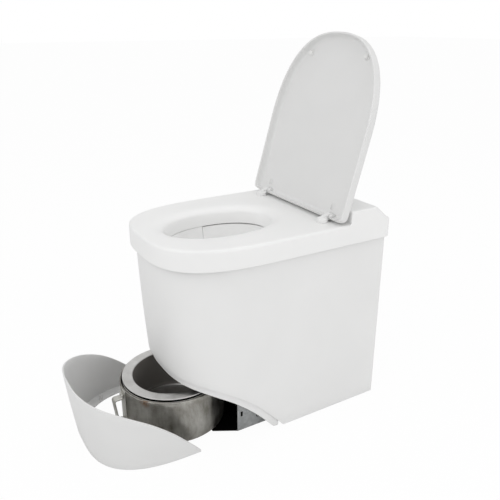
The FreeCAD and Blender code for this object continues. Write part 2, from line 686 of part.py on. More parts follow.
def chassis_screws():
    screws = []
    for side in (-1, 1):
        inner = side * (CHASSIS_HALF - SHEET - 4)
        outer = side * CHASSIS_HALF
        head = rod(4.2, (outer, -179, 29), (outer + side * 2.2, -179, 29))
        cross = box(-0.5, 0.5, -182, -176, 28.5, 29.5).fuse(box(-0.5, 0.5, -179.5, -178.5, 26, 32))
        cross.translate(Vector(outer + side * 2.2, 0, 0))
        screws.append(join([rod(SCREW_R, (inner, -179, 29), (outer, -179, 29)), head]).cut(cross))
    return group(screws)


def foot_pads():
    pads = []
    for x in (-125, 125):
        for y in (-210, 105):
            pads.append(revolve([(0, 0), (11, 0), (12, 1.5), (12, FLOOR_PLATE_Z), (0, FLOOR_PLATE_Z)], x, y))
    return group(pads)


# ---- Ash pan ---------------------------------------------------------------------------------------
PAN_WALL = 1.6
PAN_RIM_Z = 126.0


def pan_shell():
    bottom = PAN_BOTTOM
    profile = [(0, bottom), (PAN_R - 7, bottom), (PAN_R - 3, bottom + 1.5), (PAN_R, bottom + 6),
               (PAN_R, PAN_RIM_Z), (PAN_R - PAN_WALL, PAN_RIM_Z), (PAN_R - PAN_WALL, bottom + 7),
               (PAN_R - 7.5, bottom + PAN_WALL), (0, bottom + PAN_WALL)]
    wall = revolve(profile, 0, PAN_Y)
    bead = Part.makeTorus(PAN_R - 0.8, 1.6, Vector(0, PAN_Y, PAN_RIM_Z - 0.6), Vector(0, 0, 1))
    pan = join([wall, bead])
    return pan.cut(group(handle_rivet_rods(1.6, 6)))


def pan_pot():
    """Inner pot, turned out at the top into the flat ring that seals under the chamber."""
    r = PAN_POT_R
    t = 1.5
    top = PAN_TOP
    profile = [(0, 24), (r - 14, 24), (r - 5, 27), (r, 36), (r, top - 2.0), (r + 1, top),
               (PAN_RING_R - 1, top), (PAN_RING_R, top - 1), (PAN_RING_R, top - 2.4),
               (r + t + 0.5, top - 2.4), (r + t, top - 4), (r + t, 35.5), (r - 4, 25.5),
               (r - 13.5, 22.5), (0, 22.5)]
    return revolve(profile, 0, PAN_Y)


def pan_insulation():
    r = PAN_POT_R + 1.5
    profile = [(0, PAN_BOTTOM + PAN_WALL + 0.2), (PAN_R - 9, PAN_BOTTOM + PAN_WALL + 0.2),
               (PAN_R - PAN_WALL - 5, 20), (PAN_R - PAN_WALL - 5, 123), (r + 0.3, 123),
               (r + 0.3, 35), (r - 4, 24.5), (r - 14, 22.2), (0, 22.2)]
    return revolve(profile, 0, PAN_Y)


HANDLE_TOP = 101.0           # upper arm of the handle
HANDLE_LOW = 37.0            # lower arm of the handle
HANDLE_REACH = 22.0
HANDLE_WIDTH = 20.0
HANDLE_T = 4.0
RIVET_GRIP = HANDLE_T + 4.4  # from the handle's face to the rivets' tails inside the pan
BRACKET_LOW = 22.0
BRACKET_TOP = 123.6
DOUBLER_OUT = PAN_R + 2.1    # outer face of the doubler plate on the pan's wall
RIVET_HEIGHTS = (HANDLE_TOP + 7.0, HANDLE_LOW - 7.0)


def handle_rivet_rods(radius, reach):
    """One rod per handle rivet, running through the pan's wall by reach either way."""
    front = PAN_Y - DOUBLER_OUT
    return [rod(radius, (x, front - reach, z), (x, front + reach, z))
            for x in (-4.5, 4.5) for z in RIVET_HEIGHTS]


def bent_strip(points, radii, thickness, width):
    """Flat bar across x, bent along a path in the y-z plane."""
    rows = []
    for sign in (-0.5, 0.5):
        row = []
        for i, (y, z) in enumerate(points):
            before = points[i - 1] if i > 0 else points[i]
            after = points[i + 1] if i + 1 < len(points) else points[i]
            legs = [Vector(0, y - before[0], z - before[1]), Vector(0, after[0] - y, after[1] - z)]
            legs = [leg.normalize() for leg in legs if leg.Length > 0]
            normals = [Vector(0, -leg.z, leg.y) for leg in legs]
            normal = normals[0].add(normals[-1]).normalize()
            shift = sign * thickness / normal.dot(normals[0])
            row.append((y + normal.y * shift, z + normal.z * shift))
        rows.append(row)
    turn = [0] + [r for r in radii] + [0]
    wire = rounded_wire(rows[0] + rows[1][::-1], turn + turn[::-1],
                        lambda y, z: Vector(-width / 2, y, z))
    return Part.Face(wire).extrude(Vector(width, 0, 0))


def pan_handle():
    flat = PAN_Y - DOUBLER_OUT - HANDLE_T / 2 - 0.02
    path = [(flat, HANDLE_TOP + 11), (flat, HANDLE_TOP), (flat - HANDLE_REACH, HANDLE_TOP),
            (flat - HANDLE_REACH + 8, HANDLE_LOW), (flat, HANDLE_LOW), (flat, HANDLE_LOW - 11)]
    bar = bent_strip(path, [2.0, 3.0, 3.0, 2.0], HANDLE_T, HANDLE_WIDTH)
    return bar.cut(group(handle_rivet_rods(1.6, 6)))


def handle_bracket():
    """Curved doubler plate between the handle and the pan's wall."""
    plate = tube(DOUBLER_OUT, PAN_R + 0.05, (0, PAN_Y, BRACKET_LOW), (0, PAN_Y, BRACKET_TOP))
    plate = plate.common(box(-15, 15, PAN_Y - DOUBLER_OUT - 3, PAN_Y, BRACKET_LOW, BRACKET_TOP))
    return plate.cut(group(handle_rivet_rods(1.6, 6)))


def handle_rivets():
    front = PAN_Y - DOUBLER_OUT - HANDLE_T - 0.02
    rivets = []
    for x in (-4.5, 4.5):
        for z in RIVET_HEIGHTS:
            shank = rod(1.5, (x, front, z), (x, front + RIVET_GRIP, z))
            head = revolve([(0, 0), (3.0, 0), (2.2, 1.2), (0, 1.6)], 0, 0)
            head.rotate(Vector(0, 0, 0), Vector(1, 0, 0), 90)
            head.translate(Vector(x, front, z))
            tail = rod(2.4, (x, front + RIVET_GRIP, z), (x, front + RIVET_GRIP + 1, z))
            rivets.append(join([shank, head, tail]))
    return group(rivets)


# ---- Combustion chamber, above the pan's home --------------------------------------------------------
CHAMBER_WALL = 2.0
CHAMBER_BOTTOM = PAN_TOP + 4.5
LINING_R = 101.0
BURNER_X = 85.0
PORT_R = 14.0
PROBE_R = 4.0
PROBE_XS = (60.0, 108.0)     # flame sensor and igniter, either side of the burner
PORT_Z = 172.0
DUCT_R = 16.0
DUCT_X = FAN_X - 20.0
DUCT_Y = 94.0
DUCT_BEND = 30.0
FLUE_R = 25.0


def chamber_ports(grow=0.0):
    """Rods where the burner, the probes, the air duct and the flue pass the wall."""
    rods = [rod(PORT_R + grow, (BURNER_X, HOME_Y, PORT_Z), (BURNER_X, 20, PORT_Z)),
            rod(DUCT_R + grow, (DUCT_X, HOME_Y, FLUE_Z), (DUCT_X, 20, FLUE_Z)),
            rod(FLUE_R + grow, (0, HOME_Y, FLUE_Z), (0, 20, FLUE_Z))]
    for x in PROBE_XS:
        rods.append(rod(PROBE_R + grow, (x, HOME_Y, PORT_Z), (x, 20, PORT_Z)))
    return rods


def chamber_shell():
    wall = tube(CHAMBER_R, CHAMBER_R - CHAMBER_WALL, (0, HOME_Y, CHAMBER_BOTTOM), (0, HOME_Y, CHAMBER_TOP))
    roof = rod(CHAMBER_R, (0, HOME_Y, CHAMBER_TOP - CHAMBER_WALL), (0, HOME_Y, CHAMBER_TOP))
    foot = tube(CHAMBER_R, LINING_R, (0, HOME_Y, CHAMBER_BOTTOM), (0, HOME_Y, CHAMBER_BOTTOM + 1.5))
    shell = join([wall, roof, foot]).cut(group(chamber_ports(0.1)))
    return shell.cut(rod(THROAT_R, (0, THROAT_Y, CHAMBER_TOP - 10), (0, THROAT_Y, CHAMBER_TOP + 1)))


def chamber_lining():
    ring = tube(CHAMBER_R - CHAMBER_WALL - 0.1, LINING_R, (0, HOME_Y, CHAMBER_BOTTOM + 1.6),
                (0, HOME_Y, CHAMBER_TOP - CHAMBER_WALL - 0.1))
    ring = ring.cut(group(chamber_ports(0.1)))
    return ring.cut(rod(THROAT_R, (0, THROAT_Y, CHAMBER_TOP - 12), (0, THROAT_Y, CHAMBER_TOP)))


def chamber_seal():
    return tube(PAN_RING_R - 2, LINING_R + 1, (0, HOME_Y, PAN_TOP + 0.3), (0, HOME_Y, CHAMBER_BOTTOM))


def chamber_studs():
    studs = []
    for i in range(4):
        turn = math.radians(45 + 90 * i)
        x = 116 * math.cos(turn)
        y = HOME_Y + 116 * math.sin(turn)
        studs.append(rod(5.0, (x, y, CHAMBER_TOP), (x, y, CHASSIS_TOP - SHEET)))
    return group(studs)


def drop_throat():
    """Short steel collar from the chamber's roof up through the chassis deck."""
    collar = tube(THROAT_R - 0.1, THROAT_R - 2, (0, THROAT_Y, CHAMBER_TOP - 2), (0, THROAT_Y, 263))
    flange = tube(THROAT_R + 6, THROAT_R - 2, (0, THROAT_Y, CHASSIS_TOP), (0, THROAT_Y, CHASSIS_TOP + 1.5))
    return join([collar, flange])


# ---- Gas burner ------------------------------------------------------------------------------------
def chamber_edge(x):
    """y of the chamber's outer wall, on its rear side, at a distance x from the mid-plane."""
    return HOME_Y + math.sqrt(CHAMBER_R ** 2 - x ** 2)


def burner_tube():
    start = chamber_edge(BURNER_X) - 20
    body = rod(PORT_R, (BURNER_X, start, PORT_Z), (BURNER_X, 0, PORT_Z))
    bore = rod(PORT_R - 1.5, (BURNER_X, start - 1, PORT_Z), (BURNER_X, -6, PORT_Z))
    flange = rod(PORT_R + 4, (BURNER_X, -34, PORT_Z), (BURNER_X, -31, PORT_Z))
    jet = rod(5.0, (BURNER_X, 0, PORT_Z), (BURNER_X, 14, PORT_Z))
    return join([body, flange]).cut(bore).fuse(jet).removeSplitter()


def probe(x, back):
    start = chamber_edge(x) - 22
    tip = rod(1.5, (x, start, PORT_Z), (x, start + 30, PORT_Z))
    ceramic = rod(PROBE_R, (x, start + 14, PORT_Z), (x, back, PORT_Z))
    cap = rod(2.0, (x, back, PORT_Z), (x, back + 12, PORT_Z))
    return join([tip, ceramic, cap])


def gas_valve():
    block = box(GAS_X - 22, GAS_X + 22, 22, 72, GAS_Z - 20, GAS_Z + 32)
    block = block.makeFillet(3.0, block.Edges)
    coil = rod(13.0, (GAS_X, 47, GAS_Z + 32), (GAS_X, 47, GAS_Z + 60))
    cap = rod(9.0, (GAS_X, 47, GAS_Z + 60), (GAS_X, 47, GAS_Z + 64))
    nose = rod(7.0, (BURNER_X + 5, 14.5, PORT_Z), (BURNER_X + 5, 22, PORT_Z))
    return join([block, coil, cap, nose])


def gas_pipe():
    """Thin inner pipe that ends in a thicker tail outside the union."""
    shoulder = SHELL_BACK + PANEL_T + 8
    return join([rod(GAS_INNER_R, (GAS_X, 72, GAS_Z), (GAS_X, shoulder, GAS_Z)),
                 rod(GAS_PIPE_R, (GAS_X, shoulder, GAS_Z), (GAS_X, SPIGOT_END - 5, GAS_Z))])


def gas_union():
    """Bulkhead nuts that hold the gas pipe in the rear panel."""
    hole = rod(GAS_INNER_R + 0.1, (GAS_X, 100, GAS_Z), (GAS_X, 220, GAS_Z))
    outer = hex_prism(17.0, (GAS_X, SHELL_BACK + PANEL_T, GAS_Z), 8.0, Vector(0, 1, 0))
    inner = hex_prism(17.0, (GAS_X, SHELL_BACK - WALL - 6, GAS_Z), 6.0, Vector(0, 1, 0))
    sleeve = rod(5.8, (GAS_X, SHELL_BACK - WALL - 1, GAS_Z), (GAS_X, SHELL_BACK + PANEL_T + 1, GAS_Z))
    return join([outer, inner, sleeve]).cut(hole)


# ---- Combustion air and exhaust ------------------------------------------------------------------------
FAN_Y0 = 70.0                # front face of the fan scroll
FAN_Y1 = 118.0
FAN_R = 58.0
FAN_WALL = 2.0


def fan_housing():
    """Scroll: a round drum with a square outlet running down on its left side."""
    left = FAN_X - FAN_R
    drum = rod(FAN_R, (FAN_X, FAN_Y0, FAN_Z), (FAN_X, FAN_Y1, FAN_Z))
    outlet = box(left, left + 40, FAN_Y0, FAN_Y1, 268, FAN_Z)
    body = join([drum, outlet])
    room = rod(FAN_R - FAN_WALL, (FAN_X, FAN_Y0 + FAN_WALL, FAN_Z), (FAN_X, FAN_Y1 - FAN_WALL, FAN_Z))
    duct = box(left + FAN_WALL, left + 38, FAN_Y0 + FAN_WALL, FAN_Y1 - FAN_WALL, 270, FAN_Z)
    body = body.cut(join([room, duct]))
    body = body.cut(rod(DUCT_R, (DUCT_X, DUCT_Y, 260), (DUCT_X, DUCT_Y, 280)))
    body = body.cut(rod(INTAKE_R, (FAN_X, FAN_Y1 - 5, FAN_Z), (FAN_X, FAN_Y1 + 1, FAN_Z)))
    return body.cut(rod(6.0, (FAN_X, FAN_Y0 - 1, FAN_Z), (FAN_X, FAN_Y0 + 5, FAN_Z)))


def fan_impeller():
    back = tube(50.0, 3.0, (FAN_X, FAN_Y0 + 6, FAN_Z), (FAN_X, FAN_Y0 + 8, FAN_Z))
    hub = tube(9.0, 3.0, (FAN_X, FAN_Y0 + 6, FAN_Z), (FAN_X, FAN_Y0 + 26, FAN_Z))
    ring = tube(50.0, 40.0, (FAN_X, FAN_Y0 + 36, FAN_Z), (FAN_X, FAN_Y0 + 38, FAN_Z))
    blades = []
    for i in range(24):
        blade = box(-0.7, 0.7, FAN_Y0 + 7, FAN_Y0 + 37, 40, 50)
        blade.rotate(Vector(0, 0, 45), Vector(0, 1, 0), 30)
        blade.rotate(Vector(0, 0, 0), Vector(0, 1, 0), 15 * i)
        blade.translate(Vector(FAN_X, 0, FAN_Z))
        blades.append(blade)
    wheel = join([back, hub, ring] + blades)
    return wheel.common(rod(50.0, (FAN_X, FAN_Y0, FAN_Z), (FAN_X, FAN_Y1, FAN_Z)))


def fan_shaft():
    return rod(3.0, (FAN_X, FAN_Y0 - 20, FAN_Z), (FAN_X, FAN_Y0 + 28, FAN_Z))


def fan_motor():
    can = rod(20.0, (FAN_X, FAN_Y0 - 36, FAN_Z), (FAN_X, FAN_Y0, FAN_Z))
    hole = rod(3.0 + RUN_GAP, (FAN_X, FAN_Y0 - 22, FAN_Z), (FAN_X, FAN_Y0 + 1, FAN_Z))
    return can.cut(hole)


def air_duct():
    """Pipe from the fan's outlet down through the chassis deck and forward to the chamber."""
    top = Vector(DUCT_X, DUCT_Y, 270)
    corner = Vector(DUCT_X, DUCT_Y, FLUE_Z)
    end = Vector(DUCT_X, chamber_edge(DUCT_X) + 6, FLUE_Z)
    outer = bent_rod([top, corner, end], DUCT_R - 0.1, DUCT_BEND)
    return outer.cut(bent_rod([top, corner, end], DUCT_R - 1.6, DUCT_BEND))


def flue_pipe():
    front = HOME_Y + CHAMBER_R - 3
    pipe = tube(FLUE_R, FLUE_R - 1.5, (0, front, FLUE_Z), (0, 20, FLUE_Z))
    flange = tube(FLUE_R + 7, FLUE_R - 1.5, (0, -32, FLUE_Z), (0, -30, FLUE_Z))
    return join([pipe, flange])


def catalyst_canister():
    profile = [(0, 0), (FLUE_R + 2, 0), (44, 18), (44, 66), (SPIGOT_R + 2, 82), (0, 82)]
    can = revolve(profile, 0, 0)
    can.rotate(Vector(0, 0, 0), Vector(1, 0, 0), -90)
    can.translate(Vector(0, 20, FLUE_Z))
    return can


def exhaust_spigot():
    """Outlet pipe; the end outside the rear panel is the stated size."""
    panel = SHELL_BACK + PANEL_T
    return join([tube(SPIGOT_R - 0.5, SPIGOT_R - 2, (0, 102, FLUE_Z), (0, panel, FLUE_Z)),
                 tube(SPIGOT_R, SPIGOT_R - 2, (0, panel, FLUE_Z), (0, SPIGOT_END, FLUE_Z))])


def air_intake():
    """Collar that feeds outside air to the fan, with a flange on the rear panel."""
    collar = tube(INTAKE_R, INTAKE_R - 2, (FAN_X, FAN_Y1, FAN_Z), (FAN_X, SPIGOT_END - 5, FAN_Z))
    flange = tube(INTAKE_R + 8, INTAKE_R - 2, (FAN_X, SHELL_BACK + PANEL_T, FAN_Z),
                  (FAN_X, SHELL_BACK + PANEL_T + 3, FAN_Z))
    return join([collar, flange])


# ---- Controls ----------------------------------------------------------------------------------------
LOOM_R = 3.5
LOOM_BEND = 12.0


def control_box():
    case = box(20, 140, 70, 145, 285, 420)
    case = case.makeFillet(5.0, case.Edges)
    case = case.cut(box(23, 137, 73, 142, 288, 417))
    return case.cut(rod(5.2, (25, 110, 400), (15, 110, 400)))


def circuit_board():
    board = box(30, 130, 84, 85.6, 292, 412)
    parts = [board]
    for x, z, size in ((50, 320, 22), (95, 330, 18), (60, 380, 26), (105, 385, 14)):
        parts.append(box(x - size / 2, x + size / 2, 85.6, 85.6 + size / 2, z - size / 2, z + size / 2))
    return join(parts)


def wiring_loom():
    """Loom from the control box across, over the fan, and up to the button's switch."""
    route = [Vector(21, 110, 400), Vector(-30, 110, 400), Vector(-80, 60, 440),
             Vector(BUTTON_X, BUTTON_Y, 466), Vector(BUTTON_X, BUTTON_Y, 499.9)]
    return bent_rod(route, LOOM_R, LOOM_BEND)


def power_socket():
    y = SHELL_BACK + PANEL_T
    block = box(60, 90, y, y + 6, 345, 375).fuse(rod(10, (75, y - 12, 360), (75, y + 12, 360)))
    return block.cut(tube(7.5, 4.0, (75, y + 3, 360), (75, y + 13, 360))).removeSplitter()


def button_switch():
    """Switch body under the deck, with the guide that the button's stem runs in."""
    body = box(BUTTON_X - 11, BUTTON_X + 11, BUTTON_Y - 11, BUTTON_Y + 11, 500, 530)
    neck = rod(12.0, (BUTTON_X, BUTTON_Y, 530), (BUTTON_X, BUTTON_Y, DECK_HEIGHT))
    guide = rod(4.0 + RUN_GAP, (BUTTON_X, BUTTON_Y, 515), (BUTTON_X, BUTTON_Y, 560))
    bowl = rod(10.4, (BUTTON_X, BUTTON_Y, DECK_HEIGHT - 5), (BUTTON_X, BUTTON_Y, DECK_HEIGHT + 1))
    return join([body, neck]).cut(guide).cut(bowl)


def button_bezel():
    z = DECK_HEIGHT
    return revolve([(10.4, z), (15, z), (15, z + 1), (13.5, z + 2.5), (11.2, z + 2.5), (10.4, z + 1.5)],
                   BUTTON_X, BUTTON_Y)


def start_button():
    z = DECK_HEIGHT
    return revolve([(0, 520), (4, 520), (4, z - 1.5), (10, z - 1.5), (10, z + 2.5), (8.5, z + 3.5),
                    (0, z + 3.0)], BUTTON_X, BUTTON_Y)


# ---- Rear panel and screws -----------------------------------------------------------------------------
def rear_panel():
    x0, x1, z0, z1 = PANEL
    lap = PANEL_LAP
    y = SHELL_BACK
    plate = box(x0 - lap, x1 + lap, y, y + PANEL_T, z0 - lap, z1 + lap)
    upright = edges_at(plate, lambda c, e: abs(c.y - y - PANEL_T / 2) < 0.1)
    plate = plate.makeFillet(8.0, upright)
    plate = plate.cut(rod(SPIGOT_R + 1, (0, y - 1, FLUE_Z), (0, y + 5, FLUE_Z)))
    plate = plate.cut(rod(INTAKE_R + 0.2, (FAN_X, y - 1, FAN_Z), (FAN_X, y + 5, FAN_Z)))
    plate = plate.cut(rod(6.0, (GAS_X, y - 1, GAS_Z), (GAS_X, y + 5, GAS_Z)))
    plate = plate.cut(rod(10.2, (75, y - 1, 360), (75, y + 5, 360)))
    for x, z in panel_screw_places():
        plate = plate.cut(rod(SCREW_HOLE_R, (x, y - 1, z), (x, y + 5, z)))
    return plate


def panel_screws():
    screws = []
    y = SHELL_BACK + PANEL_T
    for x, z in panel_screw_places():
        head = revolve([(0, 0), (4.2, 0), (3.8, 1.6), (2.5, 2.6), (0, 2.8)], 0, 0)
        head.rotate(Vector(0, 0, 0), Vector(1, 0, 0), -90)
        head.translate(Vector(x, y, z))
        cross = box(x - 0.5, x + 0.5, y + 1.2, y + 4, z - 2.2, z + 2.2).fuse(
            box(x - 2.2, x + 2.2, y + 1.2, y + 4, z - 0.5, z + 0.5))
        screws.append(join([rod(SCREW_R, (x, y - 9, z), (x, y, z)), head]).cut(cross))
    return group(screws)


SUB_PARTS = {
    "body_shell": body_shell,
    "front_cover": front_cover,
    "seat_top": seat_top,
    "lid": lambda: open_lid(lid_closed()),
    "lid_bumpers": lid_bumpers,
    "hinge_feet": hinge_feet,
    "hinge_pins": hinge_pins,
    "hinge_nuts": hinge_nuts,
    "bowl_front": lambda: bowl_half(-1, BOWL_RIM),
    "bowl_rear": lambda: bowl_half(1, BOWL_RIM - 1),
    "front_bowl_axle": lambda: bowl_axle(-1),
    "rear_bowl_axle": lambda: bowl_axle(1),
    "bowl_frame": bowl_frame,
    "bowl_bushes": bowl_bushes,
    "bowl_motors": bowl_motors,
    "chassis_box": chassis_box,
    "floor_plate": floor_plate,
    "pan_runners": pan_runners,
    "floor_brackets": floor_brackets,
    "bracket_rivets": bracket_rivets,
    "chassis_screws": chassis_screws,
    "foot_pads": foot_pads,
    "pan_shell": pan_shell,
    "pan_pot": pan_pot,
    "pan_insulation": pan_insulation,
    "pan_handle": pan_handle,
    "handle_bracket": handle_bracket,
    "handle_rivets": handle_rivets,
    "chamber_shell": chamber_shell,
    "chamber_lining": chamber_lining,
    "chamber_seal": chamber_seal,
    "chamber_studs": chamber_studs,
    "drop_throat": drop_throat,
    "burner_tube": burner_tube,
    "flame_sensor": lambda: probe(PROBE_XS[0], 6),
    "igniter": lambda: probe(PROBE_XS[1], 0),
    "gas_valve": gas_valve,
    "gas_pipe": gas_pipe,
    "gas_union": gas_union,
    "fan_housing": fan_housing,
    "fan_impeller": fan_impeller,
    "fan_shaft": fan_shaft,
    "fan_motor": fan_motor,
    "air_duct": air_duct,
    "flue_pipe": flue_pipe,
    "catalyst_canister": catalyst_canister,
    "exhaust_spigot": exhaust_spigot,
    "air_intake": air_intake,
    "control_box": control_box,
    "circuit_board": circuit_board,
    "wiring_loom": wiring_loom,
    "power_socket": power_socket,
    "start_button": start_button,
    "button_bezel": button_bezel,
    "button_switch": button_switch,
    "rear_panel": rear_panel,
    "panel_screws": panel_screws,
}

for name, make in SUB_PARTS.items():
    save(name, make())
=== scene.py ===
import json
import math

import bmesh
import bpy
from mathutils import Matrix, Vector

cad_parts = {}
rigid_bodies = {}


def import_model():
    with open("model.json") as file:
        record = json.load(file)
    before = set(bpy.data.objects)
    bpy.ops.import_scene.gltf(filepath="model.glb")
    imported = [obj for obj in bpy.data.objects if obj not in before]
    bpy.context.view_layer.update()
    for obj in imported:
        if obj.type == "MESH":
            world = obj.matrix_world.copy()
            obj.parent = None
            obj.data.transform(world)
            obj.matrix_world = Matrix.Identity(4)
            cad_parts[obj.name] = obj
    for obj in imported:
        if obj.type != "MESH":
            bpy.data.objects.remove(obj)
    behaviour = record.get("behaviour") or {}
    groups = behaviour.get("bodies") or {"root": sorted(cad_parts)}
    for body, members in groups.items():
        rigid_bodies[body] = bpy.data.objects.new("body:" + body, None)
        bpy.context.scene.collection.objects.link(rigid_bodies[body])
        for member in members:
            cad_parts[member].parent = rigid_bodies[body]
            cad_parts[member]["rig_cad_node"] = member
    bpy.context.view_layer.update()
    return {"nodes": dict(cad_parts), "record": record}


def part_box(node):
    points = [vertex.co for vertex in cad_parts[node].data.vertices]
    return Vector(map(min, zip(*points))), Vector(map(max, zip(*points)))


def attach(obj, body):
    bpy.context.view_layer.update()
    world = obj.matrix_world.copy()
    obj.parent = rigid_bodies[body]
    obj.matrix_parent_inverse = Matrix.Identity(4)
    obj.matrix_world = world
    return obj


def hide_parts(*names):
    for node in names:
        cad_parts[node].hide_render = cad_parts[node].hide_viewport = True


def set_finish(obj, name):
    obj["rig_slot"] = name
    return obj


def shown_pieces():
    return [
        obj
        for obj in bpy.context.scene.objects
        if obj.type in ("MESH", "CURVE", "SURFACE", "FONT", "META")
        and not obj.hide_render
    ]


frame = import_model()

# Dimensions below are in millimetres, in the CAD frame.
MM = 0.001
SLOT_OF = {row["node"]: row["material_slot"] for row in frame["record"]["subparts"]}
BODY_OF = {node: body for body, nodes in frame["record"]["behaviour"]["bodies"].items() for node in nodes}


def cad_box_mm(node):
    lo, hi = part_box(node)
    return lo / MM, hi / MM


# ---- Mesh helpers ----
def make(name, points, faces, node, sharp=38.0):
    """New piece that stands for a CAD node, or goes with it on the same body."""
    mesh = bpy.data.meshes.new(name)
    mesh.from_pydata([(x * MM, y * MM, z * MM) for x, y, z in points], [], faces)
    tidy = bmesh.new()
    tidy.from_mesh(mesh)
    bmesh.ops.remove_doubles(tidy, verts=tidy.verts, dist=1e-6)
    bmesh.ops.dissolve_degenerate(tidy, edges=tidy.edges, dist=1e-6)
    bmesh.ops.recalc_face_normals(tidy, faces=tidy.faces)
    tidy.to_mesh(mesh)
    tidy.free()
    piece = bpy.data.objects.new(name, mesh)
    bpy.context.scene.collection.objects.link(piece)
    smooth(piece, sharp)
    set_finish(piece, SLOT_OF[node])
    return piece


def smooth(piece, sharp):
    """Smooth shading, with the edges steeper than an angle in degrees kept sharp."""
    piece.data.shade_smooth()
    piece.data.set_sharp_from_angle(angle=math.radians(sharp))


def place(piece, node, stands=True):
    """Rides on a CAD node's body, and stands for the node unless told not to."""
    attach(piece, BODY_OF[node])
    if stands:
        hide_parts(node)


def stack(rings, loop=False, caps=(False, False), wrap=True):
    """Quads between rings of equal length; loop joins the last ring to the first."""
    size = len(rings[0])
    count = len(rings)
    faces = []
    for i in range(count if loop else count - 1):
        a = i * size
        b = (i + 1) % count * size
        for j in range(size if wrap else size - 1):
            k = (j + 1) % size
            faces.append((a + j, a + k, b + k, b + j))
    if not wrap and loop:
        faces.append(tuple(i * size for i in range(count)))
        faces.append(tuple(i * size + size - 1 for i in range(count)))
    if caps[0]:
        faces.append(tuple(range(size)))
    if caps[1]:
        faces.append(tuple(range((count - 1) * size, count * size)))
    return [p for ring in rings for p in ring], faces


def merged(*meshes):
    """One points-and-faces pair out of several."""
    points = []
    faces = []
    for more_points, more_faces in meshes:
        start = len(points)
        points += list(more_points)
        faces += [tuple(i + start for i in face) for face in more_faces]
    return points, faces


def rounded(corners, radii, steps=5, closed=False):
    """Flat path through corners, each one rounded by its radius."""
    path = []
    count = len(corners)
    for i, radius in enumerate(radii):
        corner = Vector(corners[i])
        if radius == 0 or (not closed and i in (0, count - 1)):
            path.append((corner.x, corner.y))
            continue
        back = (Vector(corners[i - 1]) - corner).normalized()
        ahead = (Vector(corners[(i + 1) % count]) - corner).normalized()
        half = back.angle(ahead) / 2
        centre = corner + (back + ahead).normalized() * (radius / math.sin(half))
        reach = radius / math.tan(half)
        first = corner + back * reach - centre
        last = corner + ahead * reach - centre
        sweep = math.pi - 2 * half
        for k in range(steps + 1):
            t = k / steps
            spoke = (first * math.sin((1 - t) * sweep) + last * math.sin(t * sweep)) / math.sin(sweep)
            path.append((centre.x + spoke.x, centre.y + spoke.y))
    return path


def refined(path, longest):
    """The same path with its long steps divided."""
    fine = [path[0]]
    for a, b in zip(path, path[1:]):
        parts = max(1, math.ceil(math.dist(a, b) / longest))
        fine += [tuple(p + (q - p) * k / parts for p, q in zip(a, b)) for k in range(1, parts + 1)]
    return fine


def lathe(profile, x=0.0, y=0.0, steps=96, wobble=None):
    """Rings about a vertical axis from (radius, height) points."""
    rings = []
    for radius, z in profile:
        ring = []
        for i in range(steps):
            turn = 2 * math.pi * i / steps
            r = radius + (wobble(turn, radius, z) if wobble else 0.0)
            ring.append((x + r * math.cos(turn), y + r * math.sin(turn), z))
        rings.append(ring)
    return rings


def turned(points, matrix):
    return [tuple(matrix @ Vector(p)) for p in points]


def block(x0, x1, y0, y1, z0, z1, radius=0.0, axis="z", steps=4):
    """Box with its four edges along one axis rounded."""
    spans = {"x": ((y0, y1), (z0, z1), (x0, x1)), "y": ((x0, x1), (z0, z1), (y0, y1)),
             "z": ((x0, x1), (y0, y1), (z0, z1))}[axis]
    (a0, a1), (b0, b1), (c0, c1) = spans
    flat = rounded([(a0, b0), (a1, b0), (a1, b1), (a0, b1)], [radius] * 4, steps, closed=True)
    order = {"x": lambda a, b, c: (c, a, b), "y": lambda a, b, c: (a, c, b), "z": lambda a, b, c: (a, b, c)}
    rings = [[order[axis](a, b, c) for a, b in flat] for c in (c0, c1)]
    return stack(rings, caps=(True, True))


def pin(x, y, z, radius, length, axis, steps=32):
    """Cylinder from (x, y, z) along an axis, for cutting holes and for small turned parts."""
    along = {"x": Vector((1, 0, 0)), "y": Vector((0, 1, 0)), "z": Vector((0, 0, 1))}[axis]
    side = Vector((0, 1, 0)) if axis == "x" else Vector((1, 0, 0))
    other = along.cross(side)
    rings = []
    for t in (0.0, length):
        centre = Vector((x, y, z)) + along * t
        rings.append([tuple(centre + side * (radius * math.cos(2 * math.pi * i / steps))
                            + other * (radius * math.sin(2 * math.pi * i / steps))) for i in range(steps)])
    return stack(rings, caps=(True, True))


def carve(piece, solids, operation="DIFFERENCE"):
    """Joins or cuts closed points-and-faces solids with a piece, and keeps the result."""
    for points, faces in solids:
        tool = make("tool", points, faces, next(iter(SLOT_OF)))
        modifier = piece.modifiers.new("carve", "BOOLEAN")
        modifier.operation = operation
        modifier.solver = "EXACT"
        modifier.object = tool
        graph = bpy.context.evaluated_depsgraph_get()
        made = bpy.data.meshes.new_from_object(piece.evaluated_get(graph))
        piece.modifiers.remove(modifier)
        old = piece.data
        piece.data = made
        bpy.data.meshes.remove(old)
        bpy.data.objects.remove(tool)
    piece.data.name = piece.name


def soften(piece, width, angle, segments):
    """Rounds the edges sharper than an angle in degrees."""
    modifier = piece.modifiers.new("soft_edges", "BEVEL")
    modifier.width = width * MM
    modifier.segments = segments
    modifier.limit_method = "ANGLE"
    modifier.angle_limit = math.radians(angle)


# ---- Outlines ----
FRONT_STEPS = 120
SIDE_STEPS = 22
CORNER_STEPS = 6
BACK_STEPS = 28


